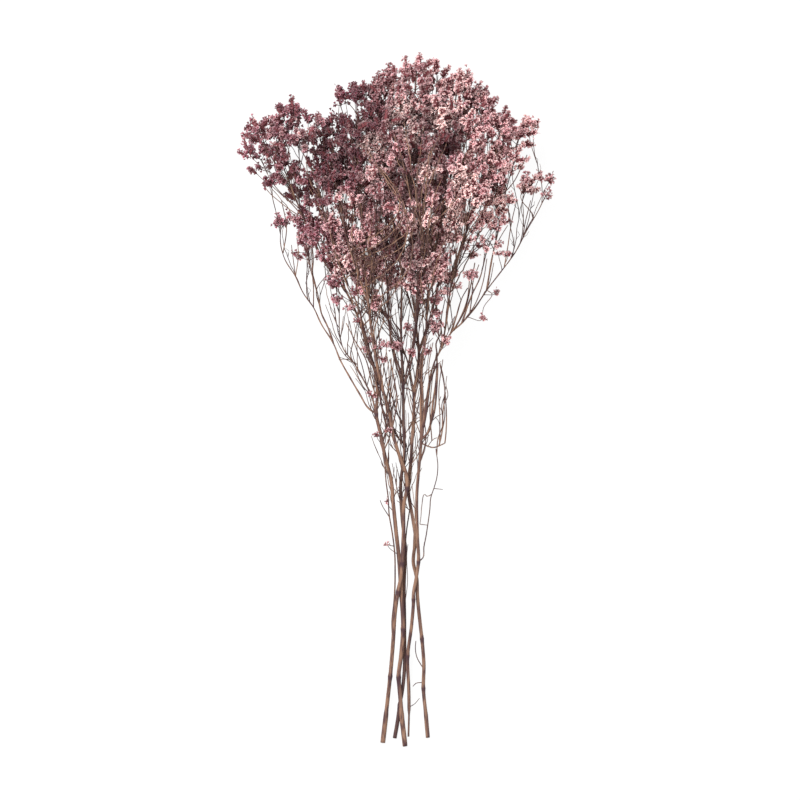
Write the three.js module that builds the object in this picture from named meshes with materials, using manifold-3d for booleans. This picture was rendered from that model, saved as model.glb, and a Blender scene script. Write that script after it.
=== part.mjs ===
// A bunch of five dried flowering branches, lying on a flat surface with its flowers towards +Y.
// Millimetres, +Z up, origin under the middle of the bunch on the surface that it lies on.
// Each branch is one node, and each flower spray at its tips is one node.
import * as THREE from "three";
import { mergeVertices } from "three/addons/utils/BufferGeometryUtils.js";
import Module from "manifold-3d";

const wasm = await Module();
wasm.setup();

// Driving dimensions, mm.
const BUNCH_END = -345; // the lowest cut end along Y
const END_HEIGHT = 2.3; // centre height of a cut end that lies on the surface
const RISE = 0.13; // how steeply the branches rise from the cut ends towards the crown
const SEAT_GAP = 0.3; // between a twig and the spray that it carries
const CLEAR = 0.5; // least distance kept between two nodes elsewhere
const FAN_POINT = [0, -80, 62]; // the sprays lean away from this point
const FAN_DEPTH = 1.6; // how much more they lean up and down than sideways
const SAMPLE = 2; // spacing of the points that stand for a limb in the clearance tests

// Radii, mm.
const LIMB_RADIUS = [1.45, 0.95];
const TWIG_RADIUS = [1.0, 0.85];
const NECK_RADIUS = 1.0;
const FLORET_RADIUS = 5.4; // of a spike's florets, at most
const FLORET_SHARE = 0.22; // the same, as a share of the spray's reach
const COLLAR = 1.15; // how much thicker than its neck a spike starts
const SWELL = 1.22; // how much thicker a stem is at a node
const END_SHARE = 0.1; // how far the radius of the cut end goes on, as a share of the bare stem
const TAPER = [0.5, 1.6]; // where a stem starts to get thinner and where it stops, in bare stems from the end

// Sides and steps of the faceted solids.
const STEM_SIDES = 6;
const LIMB_SIDES = 4;
const TWIG_SIDES = 3;
const TWIG_STEPS = 4;
const SPIKE_SIDES = 3;

// Twigs: how far back they leave a limb, and how far their middles may be shifted.
const FORK_BACK = 12;
const FORK_SLOPE = 0.9; // and this much further for each mm that the spray stands aside
const TWIG_SHIFTS = [0, 5, 10, 15, 20, 26];
const TWIG_WAYS = 8;
const HEART = [0.35, 0.3]; // place and radius of a spray's middle, kept clear of twigs, as shares of its reach

// Shape of a spray.
const SIXTH = Math.PI / 3;
const SPRAY_CONES = [1.2, 0.75]; // angle between a spike and the spray's axis, at its foot and at its top
const SPIKE_EVERY = 3.1; // reach that adds one side spike, mm
const PITCH_SHARE = 0.17; // step of the axis, as a share of the reach
const SIDE_SHARE = 0.82; // length of a side spike, as a share of the reach
const TOP_SHARE = 0.55; // how far the top spike stands past the axis, as a share of the reach
const NECK_SHARE = 0.38; // bare share of a side spike's length
const FACE_GAP = 0.2; // least distance between two spikes of one spray
const LENGTH_SPREAD = 0.12; // how much the spikes differ in length, in radius and from corner to corner
const RADIUS_SPREAD = 0.08;
const CORNER_SPREAD = 0.13;
const FEWEST_SPIKES = 4;

// What is tried in turn for a spike that has no room: its length, its slope and its turn round the axis.
const SHRINKS = [1, 0.84, 0.7, 0.58];
const TILTS = [0, -0.2, 0.2, -0.4, 0.4];
const TURNS = [0, 0.25, -0.25, 0.5, -0.5, 0.75, -0.75];
const SEED = 20251;

// Rings of a spike's florets: [how far along, size, turn]. The second one is the foot of the upper tier.
const TIERS = [
  [0.42, 1, 0],
  [0.36, 0.48, 0],
  [0.8, 0.9, SIXTH],
];

// Colours: the left of the crown is darker.
const MAUVE_SIDE = -45;
const MAUVE = 0x86596b;
const DUSTY_PINK = 0xbe8c8c;
const STEM_ROUGHNESS = 0.8;
const FLORET_ROUGHNESS = 0.9;

// Each stem has limbs. A limb starts on an earlier one of its stem, and ends in a spray unless its reach is 0.
// A route's points are [x, y, height above the rising line of the bunch]; a swell makes a node on the stem.
// A spray is [limb, x, y, z of its middle, reach].
const STEMS = [
  {
    name: "stem_1",
    radii: [2.5, 2.0, 1.1],
    colour: 0x96694f,
    swells: [-274.5, -188.5, -159.5, -83.5],
    limbs: {
      main: {
        reach: 28,
        route: [
          [-16.5, -341.5, -0.6],
          [-10.5, -288.5, 0.5],
          [-9, -274.5, 1],
          [-6, -238.5, 3],
          [-4, -208.5, 3.6],
          [-1, -188.5, 4.2],
          [2, -173.5, 4.4],
          [3, -159.5, 4.5],
          [4.5, -128.5, 5],
          [5, -99.5, 5],
          [8, -83.5, 5],
          [7, -69.5, 5],
          [3, -58.5, 5],
          [-1, -47.5, 5],
          [-6, -29.5, 5],
          [-12, 0.5, 6],
          [-17, 16.5, 7],
          [-25, 56.5, 12],
          [-31, 101.5, 20],
          [-35, 151.5, 28],
          [-38, 201.5, 36],
        ],
      },
      left: {
        reach: 26,
        route: [
          [-31, 101.5, 20],
          [-41, 130, 22],
          [-52, 165, 24],
          [-60, 205, 24],
        ],
      },
      arm: {
        reach: 14,
        route: [
          [-35, 151.5, 28],
          [-37, 180, 20],
          [-41, 225, 13],
          [-49, 270, 8],
          [-58, 297, 3],
        ],
      },
      front: {
        reach: 28,
        route: [
          [-31, 101.5, 20],
          [-26, 145, 34],
          [-19, 185, 44],
          [-14, 216, 50],
        ],
      },
    },
    sprays: [
      ["main", -47, 262, 112, 28],
      ["front", -14, 272, 119, 28],
      ["front", 3, 197, 140, 26],
      ["arm", -33, 307, 92, 25],
      ["main", -28, 172, 104, 25],
      ["left", -65, 252, 88, 25],
    ],
  },
  {
    name: "stem_2",
    radii: [2.0, 1.8, 1.1],
    colour: 0x4b3a32,
    swells: [-303.5, -143.5, 18.5],
    limbs: {
      main: {
        reach: 28,
        route: [
          [-4.5, -337, -1.5],
          [-1, -316.5, -1.6],
          [0.5, -303.5, -1.8],
          [2.5, -293.5, -2.3],
          [4.5, -278.5, -2.4],
          [5.5, -226.5, -4],
          [5, -183.5, -5],
          [6, -143.5, -5],
          [3, -113.5, -5],
          [2, -74.5, -5],
          [5, -55.5, -4],
          [4.5, -18.5, -2],
          [4, 18.5, 0],
          [3, 41.5, 0],
          [2, 81.5, 0],
          [3, 121.5, 4],
          [6, 166.5, 8],
          [9, 216.5, 12],
          [13, 262, 14],
        ],
      },
      left: {
        reach: 26,
        route: [
          [4, 18.5, 0],
          [-2, 36.5, 2],
          [-6, 51.5, 4],
          [-10, 81.5, 6],
          [-12, 121.5, 8],
          [-13, 171.5, 6],
          [-12, 221.5, 2],
          [-10, 262, -4],
        ],
      },
      right: {
        reach: 28,
        route: [
          [4, 18.5, 0],
          [9, 29.5, 3],
          [13, 46.5, 6],
          [18, 81.5, 12],
          [21, 121.5, 22],
          [23, 161.5, 36],
          [27, 192, 46],
        ],
      },
    },
    sprays: [
      ["left", -7, 317, 72, 25],
      ["main", 17, 325, 108, 28],
      ["main", 38, 320, 78, 28],
      ["right", 20, 141, 113, 24],
      ["left", -8, 150, 92, 22],
      ["right", 12, 250, 139, 28],
      ["right", 38, 283, 124, 28],
      ["right", 47, 230, 136, 26],
    ],
  },
  {
    name: "stem_3",
    radii: [2.5, 2.1, 1.1],
    colour: 0x9a6b58,
    swells: [-275.5, -226.5, -9.5],
    limbs: {
      main: {
        reach: 26,
        route: [
          [6, -345, -0.4],
          [4.5, -331.5, 0.6],
          [3, -318.5, 1.6],
          [1.8, -303.5, 2.4],
          [0.5, -288.5, 2.6],
          [-0.5, -275.5, 2.4],
          [2, -253.5, 1.6],
          [4, -226.5, 1.2],
          [2, -188.5, 0],
          [0, -156.5, -0.5],
          [-3, -128.5, -0.5],
          [-6, -98.5, -0.5],
          [-8, -76.5, -1],
          [-11, -63.5, -1],
          [-15, -48.5, -1],
          [-18, -31.5, -1],
          [-23, -9.5, -1],
          [-22, 6.5, 0],
          [-23, 26.5, 0],
          [-31, 56.5, 0],
          [-42, 89.5, 0],
          [-54, 114.5, 0],
          [-74, 141.5, 0],
          [-87, 166.5, -1],
          [-99, 194.5, -2],
          [-109, 220, -2],
        ],
      },
      outer: {
        reach: 14,
        route: [
          [-23, -9.5, -1],
          [-31, -3.5, -2],
          [-39, 9.5, -3],
          [-49, 26.5, -4],
          [-59, 44.5, -6],
          [-66, 61.5, -8],
          [-78, 80.5, -10],
          [-86, 97.5, -12],
          [-96, 111.5, -14],
          [-104, 128.5, -16],
          [-115, 146.5, -19],
          [-119, 161.5, -21],
          [-119, 176, -23],
        ],
      },
      under: {
        reach: 24,
        route: [
          [-66, 61.5, -8],
          [-71, 76.5, -14],
          [-78, 91.5, -22],
          [-82, 111.5, -32],
          [-90, 143, -46],
        ],
      },
      second: {
        reach: 0,
        route: [
          [-23, -9.5, -1],
          [-28, 9.5, -1],
          [-34, 21.5, -1],
          [-44, 39.5, -1],
          [-57, 58.5, -1],
          [-59, 66.5, -1],
          [-60, 93, -1],
        ],
      },
      lobe: {
        reach: 26,
        route: [
          [-54, 114.5, 0],
          [-62, 150, 6],
          [-74, 190, 12],
          [-83, 220, 16],
        ],
      },
    },
    sprays: [
      ["main", -139, 272, 74, 26],
      ["main", -137, 243, 49, 24],
      ["lobe", -114, 283, 88, 26],
      ["lobe", -95, 264, 106, 26],
      ["lobe", -81, 274, 72, 24],
      ["under", -99, 217, 16, 25],
      ["lobe", -80, 172, 82, 24],
    ],
  },
  {
    name: "stem_4",
    radii: [0.95, 1.7, 1.1],
    colour: 0x8a6250,
    swells: [-253.5, -196.5, -158.5],
    limbs: {
      main: {
        reach: 28,
        route: [
          [9.5, -335.5, -2.7],
          [10, -311.5, -3],
          [9.8, -288.5, -1.8],
          [8.7, -253.5, -1],
          [12.5, -223.5, 1],
          [14.5, -196.5, 2],
          [14.5, -191.5, 2],
          [17, -176.5, 1.4],
          [19.5, -158.5, 1.8],
          [18.5, -133.5, 2.2],
          [18, -88.5, 2],
          [20, -63.5, 2],
          [22, -38.5, 2],
          [22, 1.5, 3],
          [24, 51.5, 6],
          [27, 71.5, 7],
          [28, 101.5, 9],
          [33, 141.5, 13],
          [43, 186.5, 18],
          [52, 228, 22],
        ],
      },
      arm: {
        reach: 14,
        route: [
          [22, -38.5, 2],
          [24, -28.5, 3],
          [25, -13.5, 4],
          [28, 6.5, 4],
          [31, 26.5, 4],
          [36, 43.5, 4],
          [43, 56.5, 3],
          [52, 71.5, 3],
          [63, 81.5, 2],
          [76, 96.5, 1],
          [88, 114.5, 0],
          [101, 131.5, -2],
          [111, 144.5, -4],
          [119, 156.5, -6],
          [124, 166.5, -8],
          [131, 179.5, -10],
          [139, 193, -13],
          [145, 205, -16],
        ],
      },
      small: {
        reach: 0,
        route: [
          [52, 71.5, 3],
          [57, 86.5, 0],
          [64, 108.5, -3],
          [69, 117, -4],
        ],
      },
      middle: {
        reach: 22,
        route: [
          [63, 81.5, 2],
          [73, 109.5, 6],
          [81, 126.5, 8],
          [87, 150, 6],
        ],
      },
      inner: {
        reach: 26,
        route: [
          [43, 56.5, 3],
          [48, 86.5, 8],
          [51, 111.5, 14],
          [56, 139.5, 20],
          [64, 165, 24],
          [76, 196.5, 26],
          [84, 223, 24],
        ],
      },
      long: {
        reach: 24,
        route: [
          [88, 114.5, 0],
          [94, 150, -6],
          [101, 180, -12],
          [107, 212, -18],
          [111, 228, -20],
        ],
      },
    },
    sprays: [
      ["main", 58, 314, 99, 26],
      ["inner", 82, 301, 72, 26],
      ["inner", 102, 275, 93, 25],
      ["long", 121, 270, 62, 24],
      ["arm", 126, 219, 67, 18],
      ["inner", 68, 173, 85, 24],
      ["main", 67, 266, 124, 26],
      ["inner", 72, 211, 128, 25],
    ],
  },
  {
    name: "stem_5",
    radii: [2.1, 1.8, 1.1],
    colour: 0x85604d,
    swells: [-286.5, -236.5, 11.5],
    limbs: {
      main: {
        reach: 26,
        route: [
          [29, -336.5, -1.6],
          [27, -313.5, -2],
          [24.5, -286.5, -2],
          [25, -263.5, -2],
          [23, -236.5, -2],
          [21.5, -223.5, -2.2],
          [18.5, -193.5, -2.6],
          [17.5, -173.5, -2.3],
          [14.5, -160.5, -2.6],
          [16.5, -133.5, -3],
          [14, -116.5, -4],
          [9.5, -85.5, -4.5],
          [11, -68.5, -4.5],
          [13, -38.5, -4.5],
          [15, 1.5, -5],
          [15, 11.5, -5],
          [18, 31.5, -6],
          [20, 51.5, -7],
          [17, 81.5, -10],
          [19, 121.5, -16],
          [25, 152, -19],
          [30, 180, -23],
        ],
      },
      left: {
        reach: 26,
        route: [
          [15, 11.5, -5],
          [8, 45, -14],
          [-6, 76, -26],
          [-26, 108, -39],
          [-44, 132, -48],
        ],
      },
      right: {
        reach: 26,
        route: [
          [20, 51.5, -7],
          [34, 90, -20],
          [48, 120, -34],
          [63, 146, -46],
        ],
      },
      under: {
        reach: 26,
        route: [
          [17, 81.5, -10],
          [9, 110, -26],
          [0, 144, -46],
        ],
      },
    },
    sprays: [
      ["left", -25, 131, 54, 22],
      ["left", -45, 195, 22, 26],
      ["main", 15, 238, 36, 26],
      ["right", 85, 208, 18, 25],
      ["right", 42, 130, 40, 24],
      ["left", -52, 150, 52, 22],
    ],
  },
];

// A repeatable draw between 0 and 1.
function makeRandom(seed) {
  let state = seed >>> 0;
  return () => {
    state = (Math.imul(state, 1664525) + 1013904223) >>> 0;
    return state / 2 ** 32;
  };
}

// A share near 1 that differs from it by at most the spread.
function varied(drawn, spread) {
  return 1 + spread * (2 * drawn - 1);
}

// A point of a route in space.
function placed([x, y, above]) {
  return new THREE.Vector3(x, y, END_HEIGHT + RISE * (y - BUNCH_END) + above);
}

// Points along a polyline, about SAMPLE apart, as [point, share of the whole length].
function samplesOf(points) {
  const total = points.slice(1).reduce((sum, p, i) => sum + p.distanceTo(points[i]), 0);
  const found = [];
  let before = 0;
  for (let i = 1; i < points.length; i++) {
    const length = points[i].distanceTo(points[i - 1]);
    const steps = Math.max(1, Math.ceil(length / SAMPLE));
    for (let k = 0; k < steps; k++) {
      const share = k / steps;
      found.push([points[i - 1].clone().lerp(points[i], share), (before + share * length) / total]);
    }
    before += length;
  }
  found.push([points[points.length - 1].clone(), 1]);
  return found;
}

// Two directions square to a third one, and to each other.
function squareTo(direction) {
  const aside = Math.abs(direction.z) < 0.9 ? new THREE.Vector3(0, 0, 1) : new THREE.Vector3(1, 0, 0);
  const first = new THREE.Vector3().crossVectors(direction, aside).normalize();
  return [first, new THREE.Vector3().crossVectors(direction, first)];
}

// A point that lies off a centre, in a plane given by two directions.
function offset(centre, [first, second], reach, angle) {
  return centre
    .clone()
    .addScaledVector(first, reach * Math.cos(angle))
    .addScaledVector(second, reach * Math.sin(angle));
}

// Adds a ring of corners to a surface, and gives their numbers.
function addRing(surface, centre, plane, radius, sides, turn, uneven = () => 1) {
  return Array.from({ length: sides }, (_, s) => {
    const reach = radius * uneven();
    return surface.corners.push(offset(centre, plane, reach, turn + (2 * Math.PI * s) / sides)) - 1;
  });
}

// The two triangles that join side s of one ring to the next ring.
function sideFaces(lower, upper, s) {
  const next = (s + 1) % lower.length;
  return [
    [lower[s], lower[next], upper[s]],
    [lower[next], upper[next], upper[s]],
  ];
}

function addBand(surface, lower, upper) {
  lower.forEach((_, s) => surface.faces.push(...sideFaces(lower, upper, s)));
}

function addCap(surface, ring) {
  for (let s = 1; s + 1 < ring.length; s++) surface.faces.push([ring[0], ring[s], ring[s + 1]]);
}

function toGeometry({ corners, faces }) {
  const geometry = new THREE.BufferGeometry();
  geometry.setAttribute("position", new THREE.Float32BufferAttribute(corners.flatMap((p) => p.toArray()), 3));
  geometry.setIndex(faces.flat());
  return geometry;
}

// A faceted rod along a polyline, whose radius changes as radiusAt says; its last end is square to endWay.
function rod(points, radiusAt, sides, endWay) {
  const surface = { corners: [], faces: [] };
  const last = points.length - 1;
  let first = null;
  const rings = points.map((p, i) => {
    const before = points[Math.max(0, i - 1)];
    const after = points[Math.min(last, i + 1)];
    const along = i === last ? endWay.clone() : after.clone().sub(before).normalize();
    if (first === null) [first] = squareTo(along);
    first = first.clone().addScaledVector(along, -first.dot(along)).normalize();
    const second = new THREE.Vector3().crossVectors(along, first);
    return addRing(surface, p, [first, second], radiusAt(i, p), sides, Math.PI / sides);
  });
  addCap(surface, rings[0].toReversed());
  for (let i = 0; i < last; i++) addBand(surface, rings[i], rings[i + 1]);
  addCap(surface, rings[last]);
  return toGeometry(surface);
}

function solidOf(geometry) {
  const clean = geometry.clone();
  clean.deleteAttribute("normal");
  clean.deleteAttribute("uv");
  const merged = mergeVertices(clean, 1e-4);
  return new wasm.Manifold(
    new wasm.Mesh({
      numProp: 3,
      vertProperties: new Float32Array(merged.attributes.position.array),
      triVerts: new Uint32Array(merged.index.array),
    }),
  );
}

function geometryOf(solid) {
  const { vertProperties, triVerts } = solid.getMesh();
  const geometry = new THREE.BufferGeometry();
  geometry.setAttribute("position", new THREE.Float32BufferAttribute(vertProperties, 3));
  geometry.setIndex([...triVerts]);
  geometry.computeVertexNormals();
  return geometry;
}

// What reaches below the surface is cut level with it, so the bunch lies on flat spots.
const GROUND_SIZE = 900;
const ground = solidOf(
  new THREE.BoxGeometry(GROUND_SIZE, GROUND_SIZE, GROUND_SIZE).translate(0, 0, -GROUND_SIZE / 2),
);

function fusedOnSurface(geometries) {
  const whole = geometries.map(solidOf).reduce((all, one) => all.add(one));
  return whole.boundingBox().min[2] < 0 ? whole.subtract(ground) : whole;
}

// Radius of a stem's main limb: cut end, middle and crown, with a swell at each node.
function stemRadius(stem, point) {
  const [end, middle, crown] = stem.radii;
  const share = (point.y - BUNCH_END) / -BUNCH_END;
  const thinned = THREE.MathUtils.clamp((share - TAPER[0]) / (TAPER[1] - TAPER[0]), 0, 1);
  const tapered = THREE.MathUtils.lerp(middle, crown, thinned);
  const plain = share < END_SHARE ? end : tapered;
  return plain * (stem.swells.includes(point.y) ? SWELL : 1);
}

// All limbs of all stems, as polylines in space.
const limbs = STEMS.flatMap((stem) =>
  Object.entries(stem.limbs).map(([name, { route, reach }]) => {
    const points = route.map(placed);
    return { stem, name, points, reach, samples: samplesOf(points) };
  }),
);

// The direction in which a spray at this place grows.
function leanAt(place) {
  const [x, y, z] = FAN_POINT;
  return new THREE.Vector3(place.x - x, place.y - y, FAN_DEPTH * (place.z - z)).normalize();
}

// Spheres that stand for everything placed so far, for the clearance tests.
const filled = [];

function isClear(owner, point, radius) {
  return filled.every((other) => {
    if (other.owner === owner) return true;
    const apart = radius + other.radius + CLEAR;
    const dx = point.x - other.point.x;
    const dy = point.y - other.point.y;
    const dz = point.z - other.point.z;
    return dx * dx + dy * dy + dz * dz >= apart * apart;
  });
}

for (const limb of limbs) {
  for (const [point, share] of limb.samples) {
    const isMain = limb.name === "main";
    const radius = isMain ? stemRadius(limb.stem, point) : THREE.MathUtils.lerp(...LIMB_RADIUS, share);
    filled.push({ owner: limb.stem.name, point, radius });
  }
}

// The sprays: one at the end of each limb, then those that a twig carries.
const sprays = [];

for (const limb of limbs) {
  const [before, tip] = limb.points.slice(-2);
  limb.lean = leanAt(tip).add(tip.clone().sub(before).normalize()).normalize();
  if (limb.reach) sprays.push({ stem: limb.stem, root: tip, lean: limb.lean, reach: limb.reach });
}

for (const stem of STEMS) {
  for (const [name, x, y, z, reach] of stem.sprays) {
    const middle = new THREE.Vector3(x, y, z);
    const lean = leanAt(middle);
    const root = middle.clone().addScaledVector(lean, -0.5 * reach);
    const limb = limbs.find((one) => one.stem === stem && one.name === name);
    sprays.push({ stem, root, lean, reach, limb });
  }
}

// Where a twig to a spray leaves its limb: the nearest place that lies far enough back.
function forkOf(limb, root) {
  const tip = limb.points[limb.points.length - 1];
  const behind = limb.samples.filter(([p]) => {
    const aside = Math.hypot(p.x - root.x, p.z - root.z);
    return root.y - p.y > FORK_BACK + FORK_SLOPE * aside && p.distanceTo(tip) > FORK_BACK;
  });
  const choices = behind.length ? behind : limb.samples.slice(0, 1);
  return choices.reduce((best, one) => (one[0].distanceTo(root) < best[0].distanceTo(root) ? one : best));
}

function twigBetween([start, share], limb, { root, lean }, shift) {
  const next = limb.samples.find(([, further]) => further > share)[0];
  const third = start.distanceTo(root) / 3;
  const along = next.clone().sub(start).normalize();
  const curve = new THREE.CubicBezierCurve3(
    start,
    start.clone().addScaledVector(along, third).add(shift),
    root.clone().addScaledVector(lean, -third).add(shift),
    root,
  );
  return curve.getPoints(TWIG_STEPS);
}

// Whether a twig keeps away from every other stem, and from the middles of the other sprays.
function twigIsClear(points, spray) {
  const [far, radius] = HEART;
  return samplesOf(points).every(
    ([p]) =>
      isClear(spray.stem.name, p, TWIG_RADIUS[0]) &&
      sprays.every((other) => {
        const heart = other.root.clone().addScaledVector(other.lean, far * other.reach);
        return other === spray || heart.distanceTo(p) > radius * other.reach;
      }),
  );
}

// The first way to a spray that is clear, as its middle is shifted further and further.
function findTwig(spray) {
  const fork = forkOf(spray.limb, spray.root);
  const plane = squareTo(spray.lean);
  for (const far of TWIG_SHIFTS) {
    for (let k = 0; k < TWIG_WAYS; k++) {
      const shift = offset(new THREE.Vector3(), plane, far, (2 * Math.PI * k) / TWIG_WAYS);
      const points = twigBetween(fork, spray.limb, spray, shift);
      if (twigIsClear(points, spray)) return points;
    }
  }
  throw new Error(`no clear way to the spray at ${spray.root.toArray()}`);
}

for (const spray of sprays.filter((one) => one.limb)) {
  spray.twig = findTwig(spray);
  for (const [point] of samplesOf(spray.twig)) {
    filled.push({ owner: spray.stem.name, point, radius: TWIG_RADIUS[0] });
  }
}

// Places that a spike fills, each with its radius: its neck, both tiers of florets and its tip.
function spikeSpheres({ start, way, neck, length, radius }) {
  const florets = length - neck;
  const parts = [
    [0.75 * neck, 1.1 * NECK_RADIUS],
    [neck, 1.4 * NECK_RADIUS],
    [neck + 0.2 * florets, 0.6 * radius],
    [neck + 0.42 * florets, 1.1 * radius],
    [neck + 0.6 * florets, 0.8 * radius],
    [neck + 0.8 * florets, radius],
    [length, 0.35 * radius],
  ];
  return parts.map(([far, size]) => [start.clone().addScaledVector(way, far), size]);
}

// Whether two spikes of one spray keep apart; their bare necks may come close.
function spikesPart(one, other) {
  return spikeSpheres(one).every(([p, radius], i) =>
    spikeSpheres(other).every(([q, size], j) => {
      const areNecks = i < 2 && j < 2;
      return areNecks || p.distanceTo(q) > radius + size + FACE_GAP;
    }),
  );
}

// A spray's axis is a three-sided rod whose rings are turned by a sixth; spikes grow from its side faces.
// Number k takes step k/2 of the axis, on one of two opposite faces.
function axisStep(k) {
  return Math.floor(k / 2);
}

function floretRadius(spray) {
  return Math.min(FLORET_RADIUS, FLORET_SHARE * spray.reach);
}

function spikeAt(spray, k, tilt, turn, shrink, drawn) {
  const step = axisStep(k);
  const from = SEAT_GAP + (step + 0.5) * spray.pitch;
  const widest = THREE.MathUtils.lerp(...SPRAY_CONES, step / Math.max(1, spray.steps - 1));
  const cone = widest + tilt;
  const angle = spray.phase + (step + 1) * SIXTH + (k % 2) * Math.PI + turn;
  const length = spray.reach * SIDE_SHARE * shrink * varied(drawn[0], LENGTH_SPREAD);
  const sideways = offset(new THREE.Vector3(), squareTo(spray.lean), Math.sin(cone), angle);
  return {
    start: spray.root.clone().addScaledVector(spray.lean, from),
    way: sideways.addScaledVector(spray.lean, Math.cos(cone)),
    length,
    neck: length * NECK_SHARE,
    radius: floretRadius(spray) * varied(drawn[1], RADIUS_SPREAD) * Math.sqrt(shrink),
    face: k,
  };
}

// The spike that goes on along the spray's axis.
function topSpike(spray, shrink, drawn) {
  const bare = spray.steps * spray.pitch;
  const florets = spray.reach * TOP_SHARE * shrink * varied(drawn, LENGTH_SPREAD);
  return {
    start: spray.root.clone().addScaledVector(spray.lean, SEAT_GAP),
    way: spray.lean,
    length: bare + florets,
    neck: bare,
    radius: floretRadius(spray) * Math.sqrt(shrink),
    face: null,
  };
}

function spikeIsClear(spray, spike) {
  return (
    spikeSpheres(spike).every(([p, radius]) => isClear(spray.name, p, radius)) &&
    spray.spikes.every((other) => spikesPart(spike, other))
  );
}

// A side spike, turned, tilted and shortened until it is clear of the rest, or nothing.
function placeSpike(spray, k, drawn) {
  for (const shrink of SHRINKS) {
    for (const tilt of TILTS) {
      for (const turn of TURNS) {
        const spike = spikeAt(spray, k, tilt, turn, shrink, drawn);
        if (spikeIsClear(spray, spike)) return [spike];
      }
    }
  }
  return [];
}

const random = makeRandom(SEED);

sprays.forEach((spray, i) => {
  spray.name = `spray_${String(i + 1).padStart(2, "0")}`;
  spray.phase = 2 * Math.PI * random();
  const sides = Math.max(FEWEST_SPIKES, Math.round(spray.reach / SPIKE_EVERY));
  spray.steps = Math.ceil(sides / 2);
  spray.pitch = PITCH_SHARE * spray.reach;
  const drawn = random();
  const tops = SHRINKS.map((shrink) => topSpike(spray, shrink, drawn));
  spray.spikes = [];
  spray.spikes.push(tops.find((spike) => spikeIsClear(spray, spike)) ?? tops[tops.length - 1]);
  for (let k = 0; k < sides; k++) {
    spray.spikes.push(...placeSpike(spray, k, [random(), random()]));
  }
  for (const [point, radius] of spray.spikes.flatMap(spikeSpheres)) {
    filled.push({ owner: spray.name, point, radius });
  }
});

// Two tiers of flared florets and a tip, on a base of three corners.
function growFlorets(surface, base, spike, turn) {
  const { start, way, neck, length, radius } = spike;
  const plane = squareTo(way);
  const uneven = () => varied(random(), CORNER_SPREAD);
  const tiers = TIERS.map(([share, size, further]) => {
    const centre = start.clone().addScaledVector(way, neck + share * (length - neck));
    return addRing(surface, centre, plane, size * radius, base.length, turn + further, uneven);
  });
  const rings = [base, ...tiers];
  for (let i = 0; i + 1 < rings.length; i++) addBand(surface, rings[i], rings[i + 1]);
  const tip = surface.corners.push(start.clone().addScaledVector(way, length)) - 1;
  const rim = rings[rings.length - 1];
  rim.forEach((corner, s) => surface.faces.push([corner, rim[(s + 1) % rim.length], tip]));
}

// A side spike takes the place of one face of the axis.
function growSideSpike(surface, face, spike) {
  const { start, way, neck } = spike;
  const plane = squareTo(way);
  const toCorner = surface.corners[face[0]].clone().sub(start);
  const turn = Math.atan2(toCorner.dot(plane[1]), toCorner.dot(plane[0]));
  const centre = start.clone().addScaledVector(way, neck);
  const collar = addRing(surface, centre, plane, COLLAR * NECK_RADIUS, face.length, turn);
  addBand(surface, face, collar);
  growFlorets(surface, collar, spike, turn);
}

function sprayGeometry(spray) {
  const surface = { corners: [], faces: [] };
  const plane = squareTo(spray.lean);
  const rings = Array.from({ length: spray.steps + 1 }, (_, j) => {
    const centre = spray.root.clone().addScaledVector(spray.lean, SEAT_GAP + j * spray.pitch);
    return addRing(surface, centre, plane, NECK_RADIUS, SPIKE_SIDES, spray.phase + j * SIXTH);
  });
  addCap(surface, rings[0].toReversed());
  for (let j = 0; j < spray.steps; j++) {
    for (let s = 0; s < SPIKE_SIDES; s++) {
      sideFaces(rings[j], rings[j + 1], s).forEach((face, half) => {
        const spike = spray.spikes.find((one) => s === half && one.face === 2 * j + half);
        if (spike) growSideSpike(surface, face, spike);
        else surface.faces.push(face);
      });
    }
  }
  growFlorets(surface, rings[spray.steps], spray.spikes[0], spray.phase + spray.steps * SIXTH);
  return toGeometry(surface);
}

function stemGeometries(stem) {
  const own = limbs.filter((limb) => limb.stem === stem);
  const thick = own.map(({ name, points, lean }) => {
    const share = (i) => i / (points.length - 1);
    return name === "main"
      ? rod(points, (i, p) => stemRadius(stem, p), STEM_SIDES, lean)
      : rod(points, (i) => THREE.MathUtils.lerp(...LIMB_RADIUS, share(i)), LIMB_SIDES, lean);
  });
  const carried = sprays.filter((spray) => spray.stem === stem && spray.twig);
  const thin = carried.map(({ twig, lean }) =>
    rod(twig, (i) => THREE.MathUtils.lerp(...TWIG_RADIUS, i / TWIG_STEPS), TWIG_SIDES, lean),
  );
  return [...thick, ...thin];
}

const bunch = new THREE.Group();

function addPiece(name, geometries, color, roughness) {
  const material = new THREE.MeshStandardMaterial({ color, roughness, metalness: 0 });
  const mesh = new THREE.Mesh(geometryOf(fusedOnSurface(geometries)), material);
  mesh.name = name;
  bunch.add(mesh);
}

for (const stem of STEMS) {
  addPiece(stem.name, stemGeometries(stem), stem.colour, STEM_ROUGHNESS);
}

for (const spray of sprays) {
  const colour = spray.root.x < MAUVE_SIDE ? MAUVE : DUSTY_PINK;
  addPiece(spray.name, [sprayGeometry(spray)], colour, FLORET_ROUGHNESS);
}

export default bunch;
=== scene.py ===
"""A bunch of dried flower branches that lies on a surface: its bark, fine twigs and papery florets.

Shapes are worked out in millimetres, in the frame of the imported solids, and become metres as meshes.
"""

import math

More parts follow.
